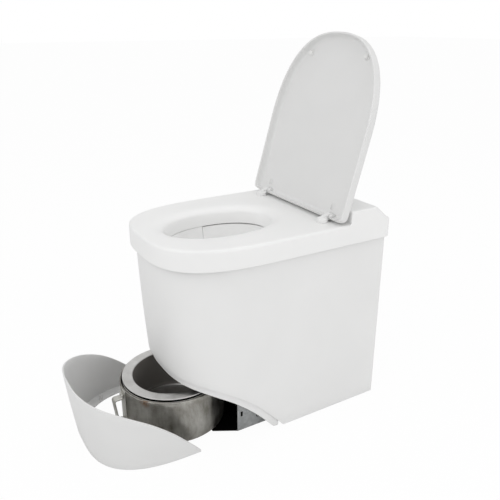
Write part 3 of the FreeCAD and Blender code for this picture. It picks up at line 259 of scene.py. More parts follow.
def outline(half, back, arc_start, front, power, corner):
    """D-shaped plan: superellipse front, straight sides, small rear corners, flat back."""
    points = []
    for i in range(FRONT_STEPS + 1):
        angle = -math.pi * i / FRONT_STEPS
        c, s = math.cos(angle), math.sin(angle)
        reach = (abs(c) ** power + abs(s) ** power) ** (-1 / power)
        points.append((half * c * reach, arc_start + (arc_start - front) * s * reach))
    run = back - corner - arc_start
    sides = [arc_start + run * i / SIDE_STEPS for i in range(1, SIDE_STEPS)]
    points += [(-half, y) for y in sides]
    for sign in (-1, 1):
        for i in range(CORNER_STEPS + 1):
            turn = math.pi / 2 * i / CORNER_STEPS
            if sign < 0:
                turn = math.pi / 2 - turn
            points.append((sign * (half - corner + corner * math.sin(turn)),
                           back - corner + corner * math.cos(turn)))
        if sign < 0:
            width = 2 * (half - corner)
            points += [(-half + corner + width * i / BACK_STEPS, back) for i in range(1, BACK_STEPS)]
    points += [(half, y) for y in reversed(sides)]
    return points


def lagrange(z, rows, column):
    """Smooth value at height z through the rows of a section table."""
    total = 0.0
    for i, row in enumerate(rows):
        term = row[column]
        for k, other in enumerate(rows):
            if k != i:
                term *= (z - other[0]) / (row[0] - other[0])
        total += term
    return total


def curve_through(points, steps=40):
    """Smooth chain through flat points."""
    ends = [tuple(2 * a - b for a, b in zip(points[0], points[1])),
            tuple(2 * a - b for a, b in zip(points[-1], points[-2]))]
    knots = [ends[0]] + list(points) + [ends[1]]
    chain = []
    for i in range(1, len(knots) - 2):
        for k in range(steps):
            t = k / steps
            chain.append(tuple(
                0.5 * (2 * b + (c - a) * t + (2 * a - 5 * b + 4 * c - d) * t * t
                       + (3 * b - a - 3 * c + d) * t ** 3)
                for a, b, c, d in zip(knots[i - 1], knots[i], knots[i + 1], knots[i + 2])))
    return chain + [points[-1]]


# ---- Seat moulding ----
seat_low, seat_high = cad_box_mm("seat_top")
SEAT_HALF = seat_high.x
SEAT_BACK = seat_high.y
SEAT_FRONT = seat_low.y
ARC_START = -122.0
SEAT_TOP = 510.0
BAND_BOTTOM = seat_low.z
DECK_TOP = seat_high.z
DECK_FRONT = 53.0
BOWL_Y = -199.0
WALL = 3.5
DECK_SLOPE = (38.5, 44.7)     # drop and depth of the sloping rear edge
BUTTON = (-125.0, 98.0)
HINGE_X = 138.0
HINGE_FOOT_Y = 9.0


def seat_ring(inset, z):
    flat = outline(SEAT_HALF - inset, SEAT_BACK - inset, ARC_START, SEAT_FRONT + inset, 3.05,
                   max(12.0 - inset, 1.0))
    return [(x, y, z) for x, y in flat]


def funnel_ring(grow, z):
    """Ring round the seat opening, one point on each ray that the seat's outline uses."""
    t = (SEAT_TOP - z) / 42.0
    half_x = 94.0 - 4.0 * t + grow
    half_y = 145.0 - 14.0 * t + grow
    power = 2.05 + 0.1 * t
    ring = []
    for x, y, _ in seat_ring(0, z):
        angle = math.atan2(y - BOWL_Y, x)
        reach = ((abs(math.cos(angle)) / half_x) ** power
                 + (abs(math.sin(angle)) / half_y) ** power) ** (-1 / power)
        ring.append((reach * math.cos(angle), BOWL_Y + reach * math.sin(angle), z))
    return ring


def between(ring_a, ring_b, t):
    return [tuple(a + (b - a) * t for a, b in zip(p, q)) for p, q in zip(ring_a, ring_b)]


def seat_moulding():
    outer = rounded([(WALL, SEAT_TOP - 4), (WALL, BAND_BOTTOM), (0, BAND_BOTTOM), (0, SEAT_TOP),
                     (60, SEAT_TOP)], [0, 1.0, 1.8, 6.5, 0], 7)[:-1]
    rings = [seat_ring(i, z) for i, z in refined(outer, 14.0)]
    spread = 2.4
    lip = rounded([(30, SEAT_TOP), (0, SEAT_TOP), (0, 468), (2.1, 468), (2.1, 492), (16, SEAT_TOP - 4)],
                  [0, 14.0, 0.9, 0.9, 4.0, 0], 9)
    lip_rings = [funnel_ring(g * spread, z) for g, z in refined(lip[1:], 9.0)]
    flat = [between(rings[-1], lip_rings[0], t / 9) for t in range(1, 9)]
    under = [between(lip_rings[-1], rings[0], t / 4) for t in range(1, 4)]
    return make("seat_moulding", *stack(rings + flat + lip_rings + under, loop=True), "seat_top")


def deck_solid():
    """Raised deck behind the lid: rounded plan, coved foot, sloping rear edge."""
    cove = 5.0
    round_top = 5.0
    levels = [(SEAT_TOP - 8, DECK_FRONT - cove)]
    for i in range(6):
        turn = math.pi / 2 * i / 6
        levels.append((SEAT_TOP + cove * (1 - math.cos(turn)), DECK_FRONT - cove + cove * math.sin(turn)))
    levels += [(SEAT_TOP + cove + 4 * k, DECK_FRONT) for k in range(0, 6)]
    rings = []
    drop, depth = DECK_SLOPE

    def ring(z, front, inset):
        back = SEAT_BACK - max(0.0, z - (DECK_TOP - drop)) * (depth / drop) - inset
        half = SEAT_HALF - inset
        corners = [(half, front + inset), (half, back), (-half, back), (-half, front + inset)]
        reach = max(1.5, 12.0 - inset)
        flat = rounded(corners, [2.0, reach, reach, 2.0], 6, closed=True)
        flat = refined(flat + flat[:1], 400.0)[:-1]
        return [(x, y, z) for x, y in flat]

    for z, front in levels:
        if z < DECK_TOP - round_top:
            rings.append(ring(z, front, 0.0))
    for i in range(7):
        turn = math.pi / 2 * i / 6
        z = DECK_TOP - round_top + round_top * math.sin(turn)
        rings.append(ring(z, DECK_FRONT, round_top * (1 - math.cos(turn))))
    return stack(rings, caps=(True, True))


seat = seat_moulding()
carve(seat, [deck_solid()], "UNION")
carve(seat, [pin(*BUTTON, 495, 12.2, 60, "z", 48)])
carve(seat, [pin(side * HINGE_X, HINGE_FOOT_Y, 490, 2.5, 40, "z", 24) for side in (-1, 1)])
smooth(seat, 32.0)
place(seat, "seat_top")


# ---- Body shell and front cover ----
SHELL_SECTIONS = [(0.0, 184.0, -360.0, 3.0), (90.0, 184.3, -371.5, 2.85),
                  (178.0, 184.6, -380.5, 2.75), (472.0, 185.5, -394.7, 2.8)]
SHELL_BACK = 176.0
SHELL_TOP = 472.0
CUT_LINE = curve_through([(-118, -5), (-145, 26), (-192, 75), (-244, 116),
                          (-300, 145.5), (-350, 164.5), (-384, 178)])
COVER_OUT = Vector((-16.0, -220.0, 0.0))
COVER_GAP = 0.8               # joint between shell and cover
LIP_REACH = (-12.0, -16.0)    # how far the lip runs past the cut line, in y and z


def shell_outline(z, inset):
    half, front, power = (lagrange(z, SHELL_SECTIONS, column) for column in (1, 2, 3))
    return outline(half - inset, SHELL_BACK - inset, ARC_START, front + inset, power, max(8.0 - inset, 1.0))


OUTLINE_CACHE = {}


def shell_point(column, z, inset):
    key = (round(z, 1), round(inset, 2))
    if key not in OUTLINE_CACHE:
        OUTLINE_CACHE[key] = shell_outline(key[0], inset)
    x, y = OUTLINE_CACHE[key][column]
    return x, y, z


def cut_height(y, shift_y=0.0, shift_z=0.0):
    """Height of the cut line at y, after moving the whole line."""
    y -= shift_y
    if y >= CUT_LINE[0][0]:
        return -50.0
    for (ya, za), (yb, zb) in zip(CUT_LINE, CUT_LINE[1:]):
        if yb <= y <= ya:
            return za + (zb - za) * (ya - y) / max(ya - yb, 1e-6) + shift_z
    return CUT_LINE[-1][1] + shift_z


def cut_edge(column, shift_y=0.0, shift_z=0.0):
    """Height where a column of the shell meets the moved cut line."""
    z = 0.0
    for _ in range(8):
        z = max(0.0, cut_height(shell_point(column, z, 0.0)[1], shift_y, shift_z))
    return z


COLUMNS = len(shell_outline(0.0, 0.0))
CUT_EDGE = [cut_edge(c) if c <= FRONT_STEPS else 0.0 for c in range(COLUMNS)]


def body_shell_piece():
    section = rounded([(0, 40), (0, 0), (WALL, 0), (WALL, 40)], [0, 1.1, 1.1, 0], 4)[1:-1]
    rows = 16
    rings = []
    for k in range(rows, 0, -1):
        rings.append([shell_point(c, low + 2 + (SHELL_TOP - low - 2) * k / rows, 0.0)
                      for c, low in enumerate(CUT_EDGE)])
    for inset, lift in section:
        rings.append([shell_point(c, low + lift, inset) for c, low in enumerate(CUT_EDGE)])
    for k in range(1, rows + 1):
        rings.append([shell_point(c, low + 2 + (SHELL_TOP - low - 2) * k / rows, WALL)
                      for c, low in enumerate(CUT_EDGE)])
    shell = make("shell_moulding", *stack(rings, loop=True), "body_shell")
    carve(shell, [block(-140, 140, SHELL_BACK - 10, SHELL_BACK + 5, 100, 400, 6.0, "y")])
    carve(shell, [pin(side * 146.0, SHELL_BACK - 9, z, 2.2, 12, "y", 20)
                  for side in (-1, 1) for z in (100.0, 250.0, 400.0)])
    smooth(shell, 30.0)
    place(shell, "body_shell")


def shell_lip_piece():
    """Stepped-in lip that the cover slips over, following the cut line."""
    columns = range(2, FRONT_STEPS - 1)
    low_edge = {c: max(0.0, cut_edge(c, *LIP_REACH)) for c in columns}
    profile = [(WALL - 0.6, "cut", 7.5), (WALL - 0.6, "cut", 3.2), (5.4, "cut", 1.6), (6.1, "cut", 0.2),
               (6.1, "low", 0.8), (6.9, "low", 0.0), (8.3, "low", 0.0), (9.1, "low", 0.8), (9.1, "cut", 7.5)]
    rings = []
    for inset, kind, lift in profile:
        ring = []
        for c in columns:
            base = CUT_EDGE[c] if kind == "cut" else low_edge[c]
            ring.append(shell_point(c, base + lift, inset))
        rings.append(ring)
    lip = make("shell_lip", *stack(rings, loop=True, wrap=False), "body_shell")
    place(lip, "body_shell", stands=False)


def cover_piece():
    """Lower front cover, standing on the floor in front of the body."""
    heights = [max(0.0, cut_edge(c, -COVER_GAP, -COVER_GAP)) for c in range(FRONT_STEPS + 1)]
    lowest = 2.2
    columns = [c for c, h in enumerate(heights) if h > lowest]
    rows = 9
    ledge = 26.0
    ledge_start, ledge_full = 4, 11     # columns in from a tip
    rings = [[] for _ in range(3 + rows + 5 + rows + 4)]
    for c in columns:
        top = heights[c]
        tip = min(c - columns[0], columns[-1] - c)
        reach = WALL + ledge * min(1.0, max(0.0, tip - ledge_start) / (ledge_full - ledge_start))
        thick = min(2.7, top * 0.5)
        chain = [(0.6, 0.0), (0.15, 0.15), (0.0, 0.6)]
        chain += [(0.0, 0.6 + (top - 1.4) * k / rows) for k in range(1, rows + 1)]
        chain += [(0.25, top - 0.25), (0.8, top), (WALL - 0.8, top), (WALL - 0.25, top - 0.25),
                  (WALL, top - 0.8)]
        chain += [(WALL, top - 0.8 - (top - 0.8 - thick - 0.7) * k / rows) for k in range(1, rows + 1)]
        chain += [(WALL + 0.7, thick), (max(reach - 0.6, WALL + 0.8), thick),
                  (max(reach, WALL + 0.9), thick * 0.7), (max(reach, WALL + 0.9), 0.0)]
        for ring, (inset, z) in zip(rings, chain):
            ring.append(shell_point(c, max(z, 0.0), inset))
    cover = make("cover_moulding", *stack(rings, loop=True, wrap=False), "front_cover")
    cover.data.transform(Matrix.Translation(COVER_OUT * MM))
    place(cover, "front_cover")
    posts = []
    for side in (-1, 1):
        for x, y in ((143.0, -269.0), (70.0, -330.0)):
            profile = rounded([(0, 2), (5.6, 2), (4.4, 5), (4.0, 17), (1.6, 17), (1.6, 4), (0, 4)],
                              [0, 0, 0.8, 0.6, 0.5, 0.4, 0], 3)
            profile = [(max(r, 0.05), z) for r, z in profile]
            rings = lathe(profile, side * x + COVER_OUT.x, y + COVER_OUT.y, 28)
            posts.append(stack(rings, caps=(True, True)))
    bosses = make("cover_screw_posts", *merged(*posts), "front_cover")
    place(bosses, "front_cover", stands=False)


body_shell_piece()
shell_lip_piece()
cover_piece()

# ---- Lid ----
LID_AXIS = Vector((0.0, 30.0, 521.5))
LID_OPEN = math.radians(106.4)
LID_REAR = 36.4
LID_TOP = 532.5
LID_RIM = 510.5
LID_INNER = 529.3
EYE_R = 7.2
BUMPER = (108.0, LID_REAR - 386.0)
OPEN_LID = (Matrix.Translation(LID_AXIS) @ Matrix.Rotation(-LID_OPEN, 4, "X")
            @ Matrix.Translation(-LID_AXIS))


def lid_ring(inset, z):
    flat = outline(195.0 - inset, LID_REAR - inset, LID_REAR - 195.0, LID_REAR - 437.8 + inset, 2.45,
                   max(17.0 - inset * 0.8, 2.0))
    return [(x, y, z) for x, y in flat]


def shrunk(ring, share, lift):
    """The ring drawn in towards the lid's middle line, for the crowned flats."""
    centre = (0.0, LID_REAR - 190.0)
    return [(centre[0] + (x - centre[0]) * share, centre[1] + (y - centre[1]) * share, z + lift)
            for x, y, z in ring]


def lid_piece():
    crown = 1.6
    section = rounded([(22.0, LID_INNER), (8.6, LID_INNER), (4.6, LID_RIM), (0, LID_RIM), (0, LID_TOP),
                       (14.0, LID_TOP)], [0, 9.0, 1.7, 1.7, 5.5, 0], 7)
    rings = [lid_ring(i, z) for i, z in refined(section, 4.0)]
    shares = [0.93, 0.82, 0.68, 0.5, 0.3, 0.12]
    inner = [shrunk(rings[0], s, crown * (1 - s * s)) for s in reversed(shares)]
    outer = [shrunk(rings[-1], s, crown * (1 - s * s)) for s in shares]
    lid = make("lid_moulding", *stack(inner + rings + outer, caps=(True, True)), "lid")
    cuts = []
    for side in (-1, 1):
        x = side * HINGE_X
        cuts.append(block(x - 7, x + 7, 18.0, 41, LID_RIM - 2, LID_INNER - 0.1, 0.0))
        cuts.append(pin(x + 13.0, LID_AXIS.y, LID_AXIS.z, EYE_R + 0.4, 3.5, "x", 40))
        cuts.append(stack([[(a, LID_REAR - 37, LID_RIM), (a, LID_REAR - 37, LID_INNER + 0.6),
                            (a, LID_REAR - 22, LID_INNER + 2.9), (a, LID_REAR - 22, LID_RIM)]
                           for a in (x - 12.0, x + 3.0)], caps=(True, True)))
    heel = [[(x, LID_REAR + 1, LID_RIM - 1), (x, LID_REAR + 1, LID_RIM + 7), (x, LID_REAR - 7, LID_RIM - 1)]
            for x in (-205.0, 205.0)]
    cuts.append(stack(heel, caps=(True, True)))
    carve(lid, cuts)
    smooth(lid, 32.0)
    lid.data.transform(Matrix.Scale(MM, 4) @ OPEN_LID @ Matrix.Scale(1 / MM, 4))
    place(lid, "lid")


def lid_lug_piece():
    """Pairs of eyes under the lid's rear edge that hold the hinge pins."""
    parts = []
    for side in (-1, 1):
        x = side * HINGE_X
        for x0 in (x - 13.0, x + 7.0):
            flat = [(LID_AXIS.y - EYE_R, LID_INNER + 0.6)]
            for i in range(17):
                turn = math.pi + math.pi * i / 16
                flat.append((LID_AXIS.y + EYE_R * math.cos(turn), LID_AXIS.z + EYE_R * math.sin(turn)))
            flat.append((LID_AXIS.y + 4.5, LID_INNER + 0.6))
            rings = []
            for step, shrink in ((0.0, 0.5), (0.5, 0.0), (5.5, 0.0), (6.0, 0.5)):
                ring = []
                for y, z in flat:
                    dy, dz = y - LID_AXIS.y, z - LID_AXIS.z
                    size = math.hypot(dy, dz)
                    ring.append((x0 + step, LID_AXIS.y + dy * (1 - shrink / size),
                                 LID_AXIS.z + dz * (1 - shrink / size)))
                rings.append(ring)
            parts.append(stack(rings, caps=(True, True)))
    points, faces = merged(*parts)
    lugs = make("lid_hinge_lugs", turned(points, OPEN_LID), faces, "lid")
    place(lugs, "lid", stands=False)


def hinge_foot_piece():
    """Round foot on the seat with a neck rising to the eye that the hinge pin turns in."""
    foot_y = HINGE_FOOT_Y
    feet = []
    for side in (-1, 1):
        x = side * HINGE_X
        profile = rounded([(0.05, SEAT_TOP), (13.4, SEAT_TOP), (13.4, 519.6), (9.0, 521.0), (0.05, 521.2)],
                          [0, 0.5, 2.8, 1.5, 0], 5)
        name = "hinge_foot_right" if side > 0 else "hinge_foot_left"
        foot = make(name, *stack(lathe(profile, x, foot_y, 48), caps=(True, True)), "hinge_feet")
        neck = rounded([(foot_y - 7, 514), (foot_y + 9, 513), (33.5, 515.4), (33.5, 524), (27.5, 528.4),
                        (foot_y - 7, 521.2)], [1.0, 1.0, 2.0, 3.0, 2.5, 1.0], 4, closed=True)
        rings = [[(x + a, y, z) for y, z in neck] for a in (-6.0, 6.0)]
        eye = pin(x - 6.3, LID_AXIS.y, LID_AXIS.z, EYE_R - 0.2, 12.6, "x", 40)
        carve(foot, [stack(rings, caps=(True, True)), eye, pin(x, foot_y, 488, 2.4, 25, "z", 24)], "UNION")
        carve(foot, [pin(x - 10, LID_AXIS.y, LID_AXIS.z, 3.2, 20, "x", 32)])
        soften(foot, 0.5, 40.0, 2)
        smooth(foot, 40.0)
        feet.append(foot)
    place(feet[0], "hinge_feet")
    place(feet[1], "hinge_feet", stands=False)


def bumper_piece():
    """Low domed rubber buffers on a thin collar, pressed into the lid's inner face."""
    parts = []
    for side in (-1, 1):
        profile = rounded([(0.05, 521.0), (4.6, 521.0), (6.5, 523.6), (6.5, 526.8), (7.8, 527.2),
                           (7.8, 530.0), (0.05, 530.0)], [0, 3.0, 1.6, 0.2, 0.6, 0.2, 0], 6)
        parts.append(stack(lathe(profile, side * BUMPER[0], BUMPER[1], 36), caps=(True, True)))
    points, faces = merged(*parts)
    bumpers = make("lid_buffers", turned(points, OPEN_LID), faces, "lid_bumpers")
    place(bumpers, "lid_bumpers")


lid_piece()
lid_lug_piece()
hinge_foot_piece()
bumper_piece()

# ---- Inner bowl ----
BOWL_INSIDE = (92.5, 134.0, 118.0)
BOWL_EQUATOR = 468.0
BOWL_AXLE = (147.0, 456.0)    # distance from the bowl's middle, and height


def bowl_piece(name, node, direction, rim):
    """Half of the drop bowl: a smooth scoop with a rolled rim and a hinge barrel on its back."""
    rows = 26
    steps = 56
    start = math.asin((BOWL_EQUATOR - rim) / BOWL_INSIDE[2])
    inner = []
    outer = []
    for side, wall in ((inner, 0.0), (outer, 3.0)):
        for i in range(rows + 1):
            dip = start + (math.radians(88.5) - start) * i / rows
            ring = []
            for k in range(steps + 1):
                turn = math.pi * k / steps
                x = (BOWL_INSIDE[0] + wall) * math.cos(dip) * math.cos(turn)
                y = (BOWL_INSIDE[1] + wall) * math.cos(dip) * math.sin(turn)
                z = BOWL_EQUATOR - (BOWL_INSIDE[2] + wall) * math.sin(dip)
                ring.append((x, BOWL_Y + direction * (0.5 + y), z))
            side.append(ring)
    lip = [[(x * 1.022, BOWL_Y + (y - BOWL_Y) * 1.015, z + 0.9) for x, y, z in outer[0]]]
    points, faces = stack(inner[::-1] + lip + outer, loop=True, wrap=False)
    bowl = make(name, points, faces, node, sharp=50.0)
    axle_y = BOWL_Y + direction * BOWL_AXLE[0]
    carve(bowl, [pin(-40, axle_y, BOWL_AXLE[1], 8.0, 80, "x", 40)], "UNION")
    carve(bowl, [pin(-60, axle_y, BOWL_AXLE[1], 4.0, 120, "x", 28)])
    smooth(bowl, 40.0)
    place(bowl, node)


bowl_piece("bowl_scoop_front", "bowl_front", -1, 466.9)
bowl_piece("bowl_scoop_rear", "bowl_rear", 1, 465.0)

# ---- Ash pan ----
PAN_Y = -343.0
PAN_R = 131.0
PAN_TOP = 132.0
PAN_BOTTOM = 7.0
BEAD_Z = 123.6


def dented(turn, radius, z):
    """Slight waviness of hand-formed sheet, none at the rim."""
    if radius < 20:
        return 0.0
    fade = max(0.0, min(1.0, (118.0 - z) / 40.0)) * max(0.0, min(1.0, (z - 14.0) / 20.0))
    wave = (math.sin(5 * turn + 0.7) * 0.25 + math.sin(11 * turn + z / 14.0) * 0.14
            + math.sin(3 * turn - z / 25.0) * 0.2)
    return -abs(fade * wave)


def pan_pieces():
    wall = 1.6
    outside = rounded([(0.5, PAN_BOTTOM), (PAN_R - 5, PAN_BOTTOM), (PAN_R, PAN_BOTTOM + 5), (PAN_R, 40),
                       (PAN_R, BEAD_Z - 3.2)], [0, 2.5, 3.5, 0, 0], 5)
    bead = []
    for i in range(15):
        turn = math.radians(-75 + 300 * i / 14)
        bead.append((PAN_R - 1.2 + 2.0 * math.cos(turn), BEAD_Z + 2.0 * math.sin(turn)))
    inside = rounded([(PAN_R - wall, BEAD_Z - 4.2), (PAN_R - wall, PAN_BOTTOM + 6),
                      (PAN_R - 6, PAN_BOTTOM + wall), (0.5, PAN_BOTTOM + wall)], [0, 3, 2, 0], 4)
    profile = refined(outside, 8.0) + bead + refined(inside, 12.0)
    can = make("pan_can", *stack(lathe(profile, 0, PAN_Y, 144, dented), caps=(True, True)), "pan_shell",
               sharp=60.0)
    place(can, "pan_shell")

    r = 98.5
    ring_r = 125.0
    upper = rounded([(0.5, 24), (r - 14, 24), (r - 5, 27), (r, 36), (r, PAN_TOP), (ring_r, PAN_TOP),
                     (ring_r, PAN_TOP - 1.7)], [0, 5, 6, 6, 2.4, 0.8, 0], 5)
    lower = rounded([(ring_r - 0.6, PAN_TOP - 2.0), (r + 1.5, PAN_TOP - 2.0),
                     (r + 1.5, 35.5), (r - 4, 25.5), (r - 13.5, 22.5), (0.5, 22.5)],
                    [0, 2, 6, 6, 5, 0], 4)
    profile = refined(upper, 9.0) + refined(lower, 12.0)
    pot = make("pan_insert", *stack(lathe(profile, 0, PAN_Y, 144), caps=(True, True)), "pan_pot",
               sharp=60.0)
    place(pot, "pan_pot")

    rope = rounded([(119.0, 124.0), (124.8, 124.0), (124.8, 130.2), (119.0, 130.2)], [2.4] * 4, 4,
                   closed=True)
    seal = make("pan_rope_seal", *stack(lathe(rope, 0, PAN_Y, 96), loop=True), "pan_pot", sharp=60.0)
    place(seal, "pan_pot", stands=False)


def strip_ring(centre, normal, half_width, half_thick, edge):
    """Cross-section of a flat bar: across x and along the in-plane normal."""
    corners = [(half_width, half_thick), (-half_width, half_thick), (-half_width, -half_thick),
               (half_width, -half_thick)]
    flat = rounded(corners, [edge] * 4, 3, closed=True)
    return [(a, centre[0] + normal[0] * b, centre[1] + normal[1] * b) for a, b in flat]


def handle_piece():
    flat = PAN_Y - PAN_R - 2.1 - 2.02
    path = rounded([(flat, 112), (flat, 101), (flat - 22, 101), (flat - 14, 37), (flat, 37), (flat, 26)],
                   [0, 3.5, 5.5, 5.5, 3.5, 0], 6)
    path = refined(path, 9.0)
    rings = []
    for i, (y, z) in enumerate(path):
        before = path[max(i - 1, 0)]
        after = path[min(i + 1, len(path) - 1)]
        along = Vector((after[0] - before[0], after[1] - before[1])).normalized()
        rings.append(strip_ring((y, z), (-along.y, along.x), 10.0, 2.0, 0.9))
    grip = make("pan_grip", *stack(rings, caps=(True, True)), "pan_handle", sharp=50.0)
    place(grip, "pan_handle")


def doubler_piece():
    """Curved plate between handle and pan wall, its edges turned and its corners rounded."""
    inner_r = PAN_R + 0.1
    outer_r = PAN_R + 2.1
    half = 15.0
    low, high = 22, 123.6
    middle = (low + high) / 2
    flat = rounded([(-half, low), (half, low), (half, high), (-half, high)], [3.0] * 4, 5, closed=True)
    flat = refined(flat + flat[:1], 5.0)[:-1]
    rings = []
    for radius, shrink in ((inner_r, 0.0), (outer_r - 0.5, 0.0), (outer_r, 0.5)):
        ring = []
        for x, z in flat:
            x *= 1 - shrink / half
            z = middle + (z - middle) * (1 - shrink / (high - middle))
            turn = x / PAN_R
            ring.append((radius * math.sin(turn), PAN_Y - radius * math.cos(turn), z))
        rings.append(ring)
    plate = make("grip_doubler", *stack(rings, caps=(True, True)), "handle_bracket", sharp=45.0)
    place(plate, "handle_bracket")


pan_pieces()
handle_piece()
doubler_piece()


def chassis_screw_pieces():
    """Round-headed screw in a dark collar on each side wall of the chassis."""
    out, y, z = 150.0, -179.0, 29.0
    collars = []
    screws = []
    for side in (-1, 1):
        turn = Matrix.Translation((side * out, y, z)) @ Matrix.Rotation(side * math.pi / 2, 4, "Y")
        collar = lathe([(2.3, 0.05), (4.0, 0.05), (3.6, 0.8), (2.6, 0.8)], steps=32)
        points, faces = stack(collar, loop=True)
        collars.append((turned(points, turn), faces))
        head = lathe([(0.05, 0.1), (2.1, 0.1), (2.0, 0.9), (1.2, 1.4), (0.7, 1.4), (0.6, 0.8), (0.05, 0.8)],
                     steps=32)
        points, faces = stack(head, caps=(True, True))
        screws.append((turned(points, turn), faces))
    collar = make("chassis_screw_collars", *merged(*collars), "foot_pads")
    place(collar, "chassis_screws", stands=False)
    screw = make("chassis_screw_heads", *merged(*screws), "panel_screws")
    place(screw, "chassis_screws")


chassis_screw_pieces()


# ---- Wiring ----
def wire_bundle():
    """Five insulated wires that run together from the control box to the motor and the button."""
    route = [Vector(p) for p in ((21, 110, 400), (-30, 110, 400), (-80, 60, 440), (*BUTTON, 466),
                                 (*BUTTON, 499.5))]
    for index in range(5):
        curve = bpy.data.curves.new(f"loom_wire_{index}", "CURVE")
        curve.dimensions = "3D"
        curve.bevel_depth = 1.15 * MM
        curve.bevel_resolution = 3
        spline = curve.splines.new("NURBS")
        turns = 40
        spline.points.add(turns)
        for k in range(turns + 1):
            t = k / turns * (len(route) - 1)
            i = min(int(t), len(route) - 2)
            base = route[i].lerp(route[i + 1], t - i)
            along = (route[i + 1] - route[i]).normalized()
            side = along.cross(Vector((0.5, 0.8, 0.1))).normalized()
            twist = 2 * math.pi * (index / 5 + k / 16)
            offset = (side * math.cos(twist) + along.cross(side) * math.sin(twist)) * 2.1
            spline.points[k].co = (*((base + offset) * MM), 1.0)
        spline.use_endpoint_u = True
        spline.order_u = 4
        wire = bpy.data.objects.new(f"loom_wire_{index}", curve)
        bpy.context.scene.collection.objects.link(wire)
        graph = bpy.context.evaluated_depsgraph_get()
        mesh = bpy.data.meshes.new_from_object(wire.evaluated_get(graph))
        bpy.data.objects.remove(wire)
        solid = bpy.data.objects.new(f"loom_wire_{index}", mesh)
        bpy.context.scene.collection.objects.link(solid)
        smooth(solid, 60.0)
        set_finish(solid, SLOT_OF["wiring_loom"])
        place(solid, "wiring_loom", stands=index == 0)


wire_bundle()


# ---- Materials ----
def feed(tree, socket, value):
    """Links a socket into an input, or sets the input to a plain value."""
    if isinstance(value, bpy.types.NodeSocket):
        tree.links.new(value, socket)
    else:
        socket.default_value = value


def add_node(tree, kind, inputs=None, **settings):
    made = tree.nodes.new(kind)
    for key, value in settings.items():
        setattr(made, key, value)
    for key, value in (inputs or {}).items():
        feed(tree, made.inputs[key], value)
    return made


def calc(tree, operation, *values):
    return add_node(tree, "ShaderNodeMath", dict(enumerate(values)), operation=operation).outputs[0]


class Look:
    """Node tree around one Principled shader, in object coordinates (metres)."""

    def __init__(self, name):
        self.material = bpy.data.materials.new(name)
        self.material.use_nodes = True
        self.tree = self.material.node_tree
        self.tree.nodes.clear()
        output = self.tree.nodes.new("ShaderNodeOutputMaterial")
        self.shader = self.tree.nodes.new("ShaderNodeBsdfPrincipled")
        self.tree.links.new(self.shader.outputs["BSDF"], output.inputs["Surface"])
        self.place = self.node("ShaderNodeTexCoord").outputs["Object"]

    def node(self, kind, inputs=None, **settings):
        return add_node(self.tree, kind, inputs, **settings)

    def set(self, **inputs):
        for key, value in inputs.items():
            feed(self.tree, self.shader.inputs[key.replace("_", " ")], value)

    def stretched(self, scale):
        return self.node("ShaderNodeMapping", {"Vector": self.place, "Scale": scale}).outputs[0]

    def noise(self, scale, detail=3.0, roughness=0.5, vector=None, distortion=0.0):
        inputs = {"Vector": vector or self.place, "Scale": scale, "Detail": detail, "Roughness": roughness,
                  "Distortion": distortion}
        return self.node("ShaderNodeTexNoise", inputs).outputs["Fac"]

    def cells(self, scale):
        return self.node("ShaderNodeTexVoronoi", {"Vector": self.place, "Scale": scale})

    def levels(self, value, low, high, out_low=0.0, out_high=1.0):
        return self.node("ShaderNodeMapRange", {"Value": value, "From Min": low, "From Max": high,
                                                "To Min": out_low, "To Max": out_high}).outputs[0]

    def math(self, operation, a, b):
        return calc(self.tree, operation, a, b)

    def mix(self, share, a, b):
        """Colour mix; plain colours are given as three numbers."""
        a, b = ((*colour, 1.0) if isinstance(colour, tuple) else colour for colour in (a, b))
        return self.node("ShaderNodeMix", {0: share, 6: a, 7: b}, data_type="RGBA").outputs[2]

    def edges(self, radius):
        """1 on outer and inner edges within a radius, 0 on open faces."""
        soft = self.node("ShaderNodeBevel", {"Radius": radius * MM}, samples=4).outputs[0]
        true = self.node("ShaderNodeNewGeometry").outputs["Normal"]
        lean = self.node("ShaderNodeVectorMath", {0: soft, 1: true}, operation="DOT_PRODUCT").outputs[1]
        return soft, self.levels(lean, 0.995, 0.93)

    def bump(self, layers, normal=None):
        """Chain of (height, strength, distance in mm)."""
        for height, strength, distance in layers:
            inputs = {"Height": height, "Strength": strength, "Distance": distance * MM}
            if normal is not None:
                inputs["Normal"] = normal
            normal = self.node("ShaderNodeBump", inputs).outputs[0]
        feed(self.tree, self.shader.inputs["Normal"], normal)


def tint(colour, factor):
    return tuple(min(1.0, c * factor) for c in colour)


def plastic(name, colour, rough, edge=0.0):
    """Moulded plastic: faint flow shading in colour and gloss, fine texture and rubbed edges."""
    look = Look(name)
    flow = look.noise(3.5, 3.0, 0.55, distortion=0.4)
    base = look.mix(look.levels(flow, 0.3, 0.7), tint(colour, 0.975), tint(colour, 1.015))
    rough_value = look.levels(flow, 0.3, 0.7, rough - 0.01, rough + 0.015)
    normal = None
    if edge:
        normal, mask = look.edges(edge)
        base = look.mix(look.math("MULTIPLY", mask, 0.5), base, tint(colour, 1.04))
        rough_value = look.math("SUBTRACT", rough_value, look.math("MULTIPLY", mask, 0.08))
    look.set(Base_Color=base, Roughness=rough_value, IOR=1.49)
    look.bump([(look.noise(24.0, 2.0), 0.03, 0.5)], normal)
    return look.material


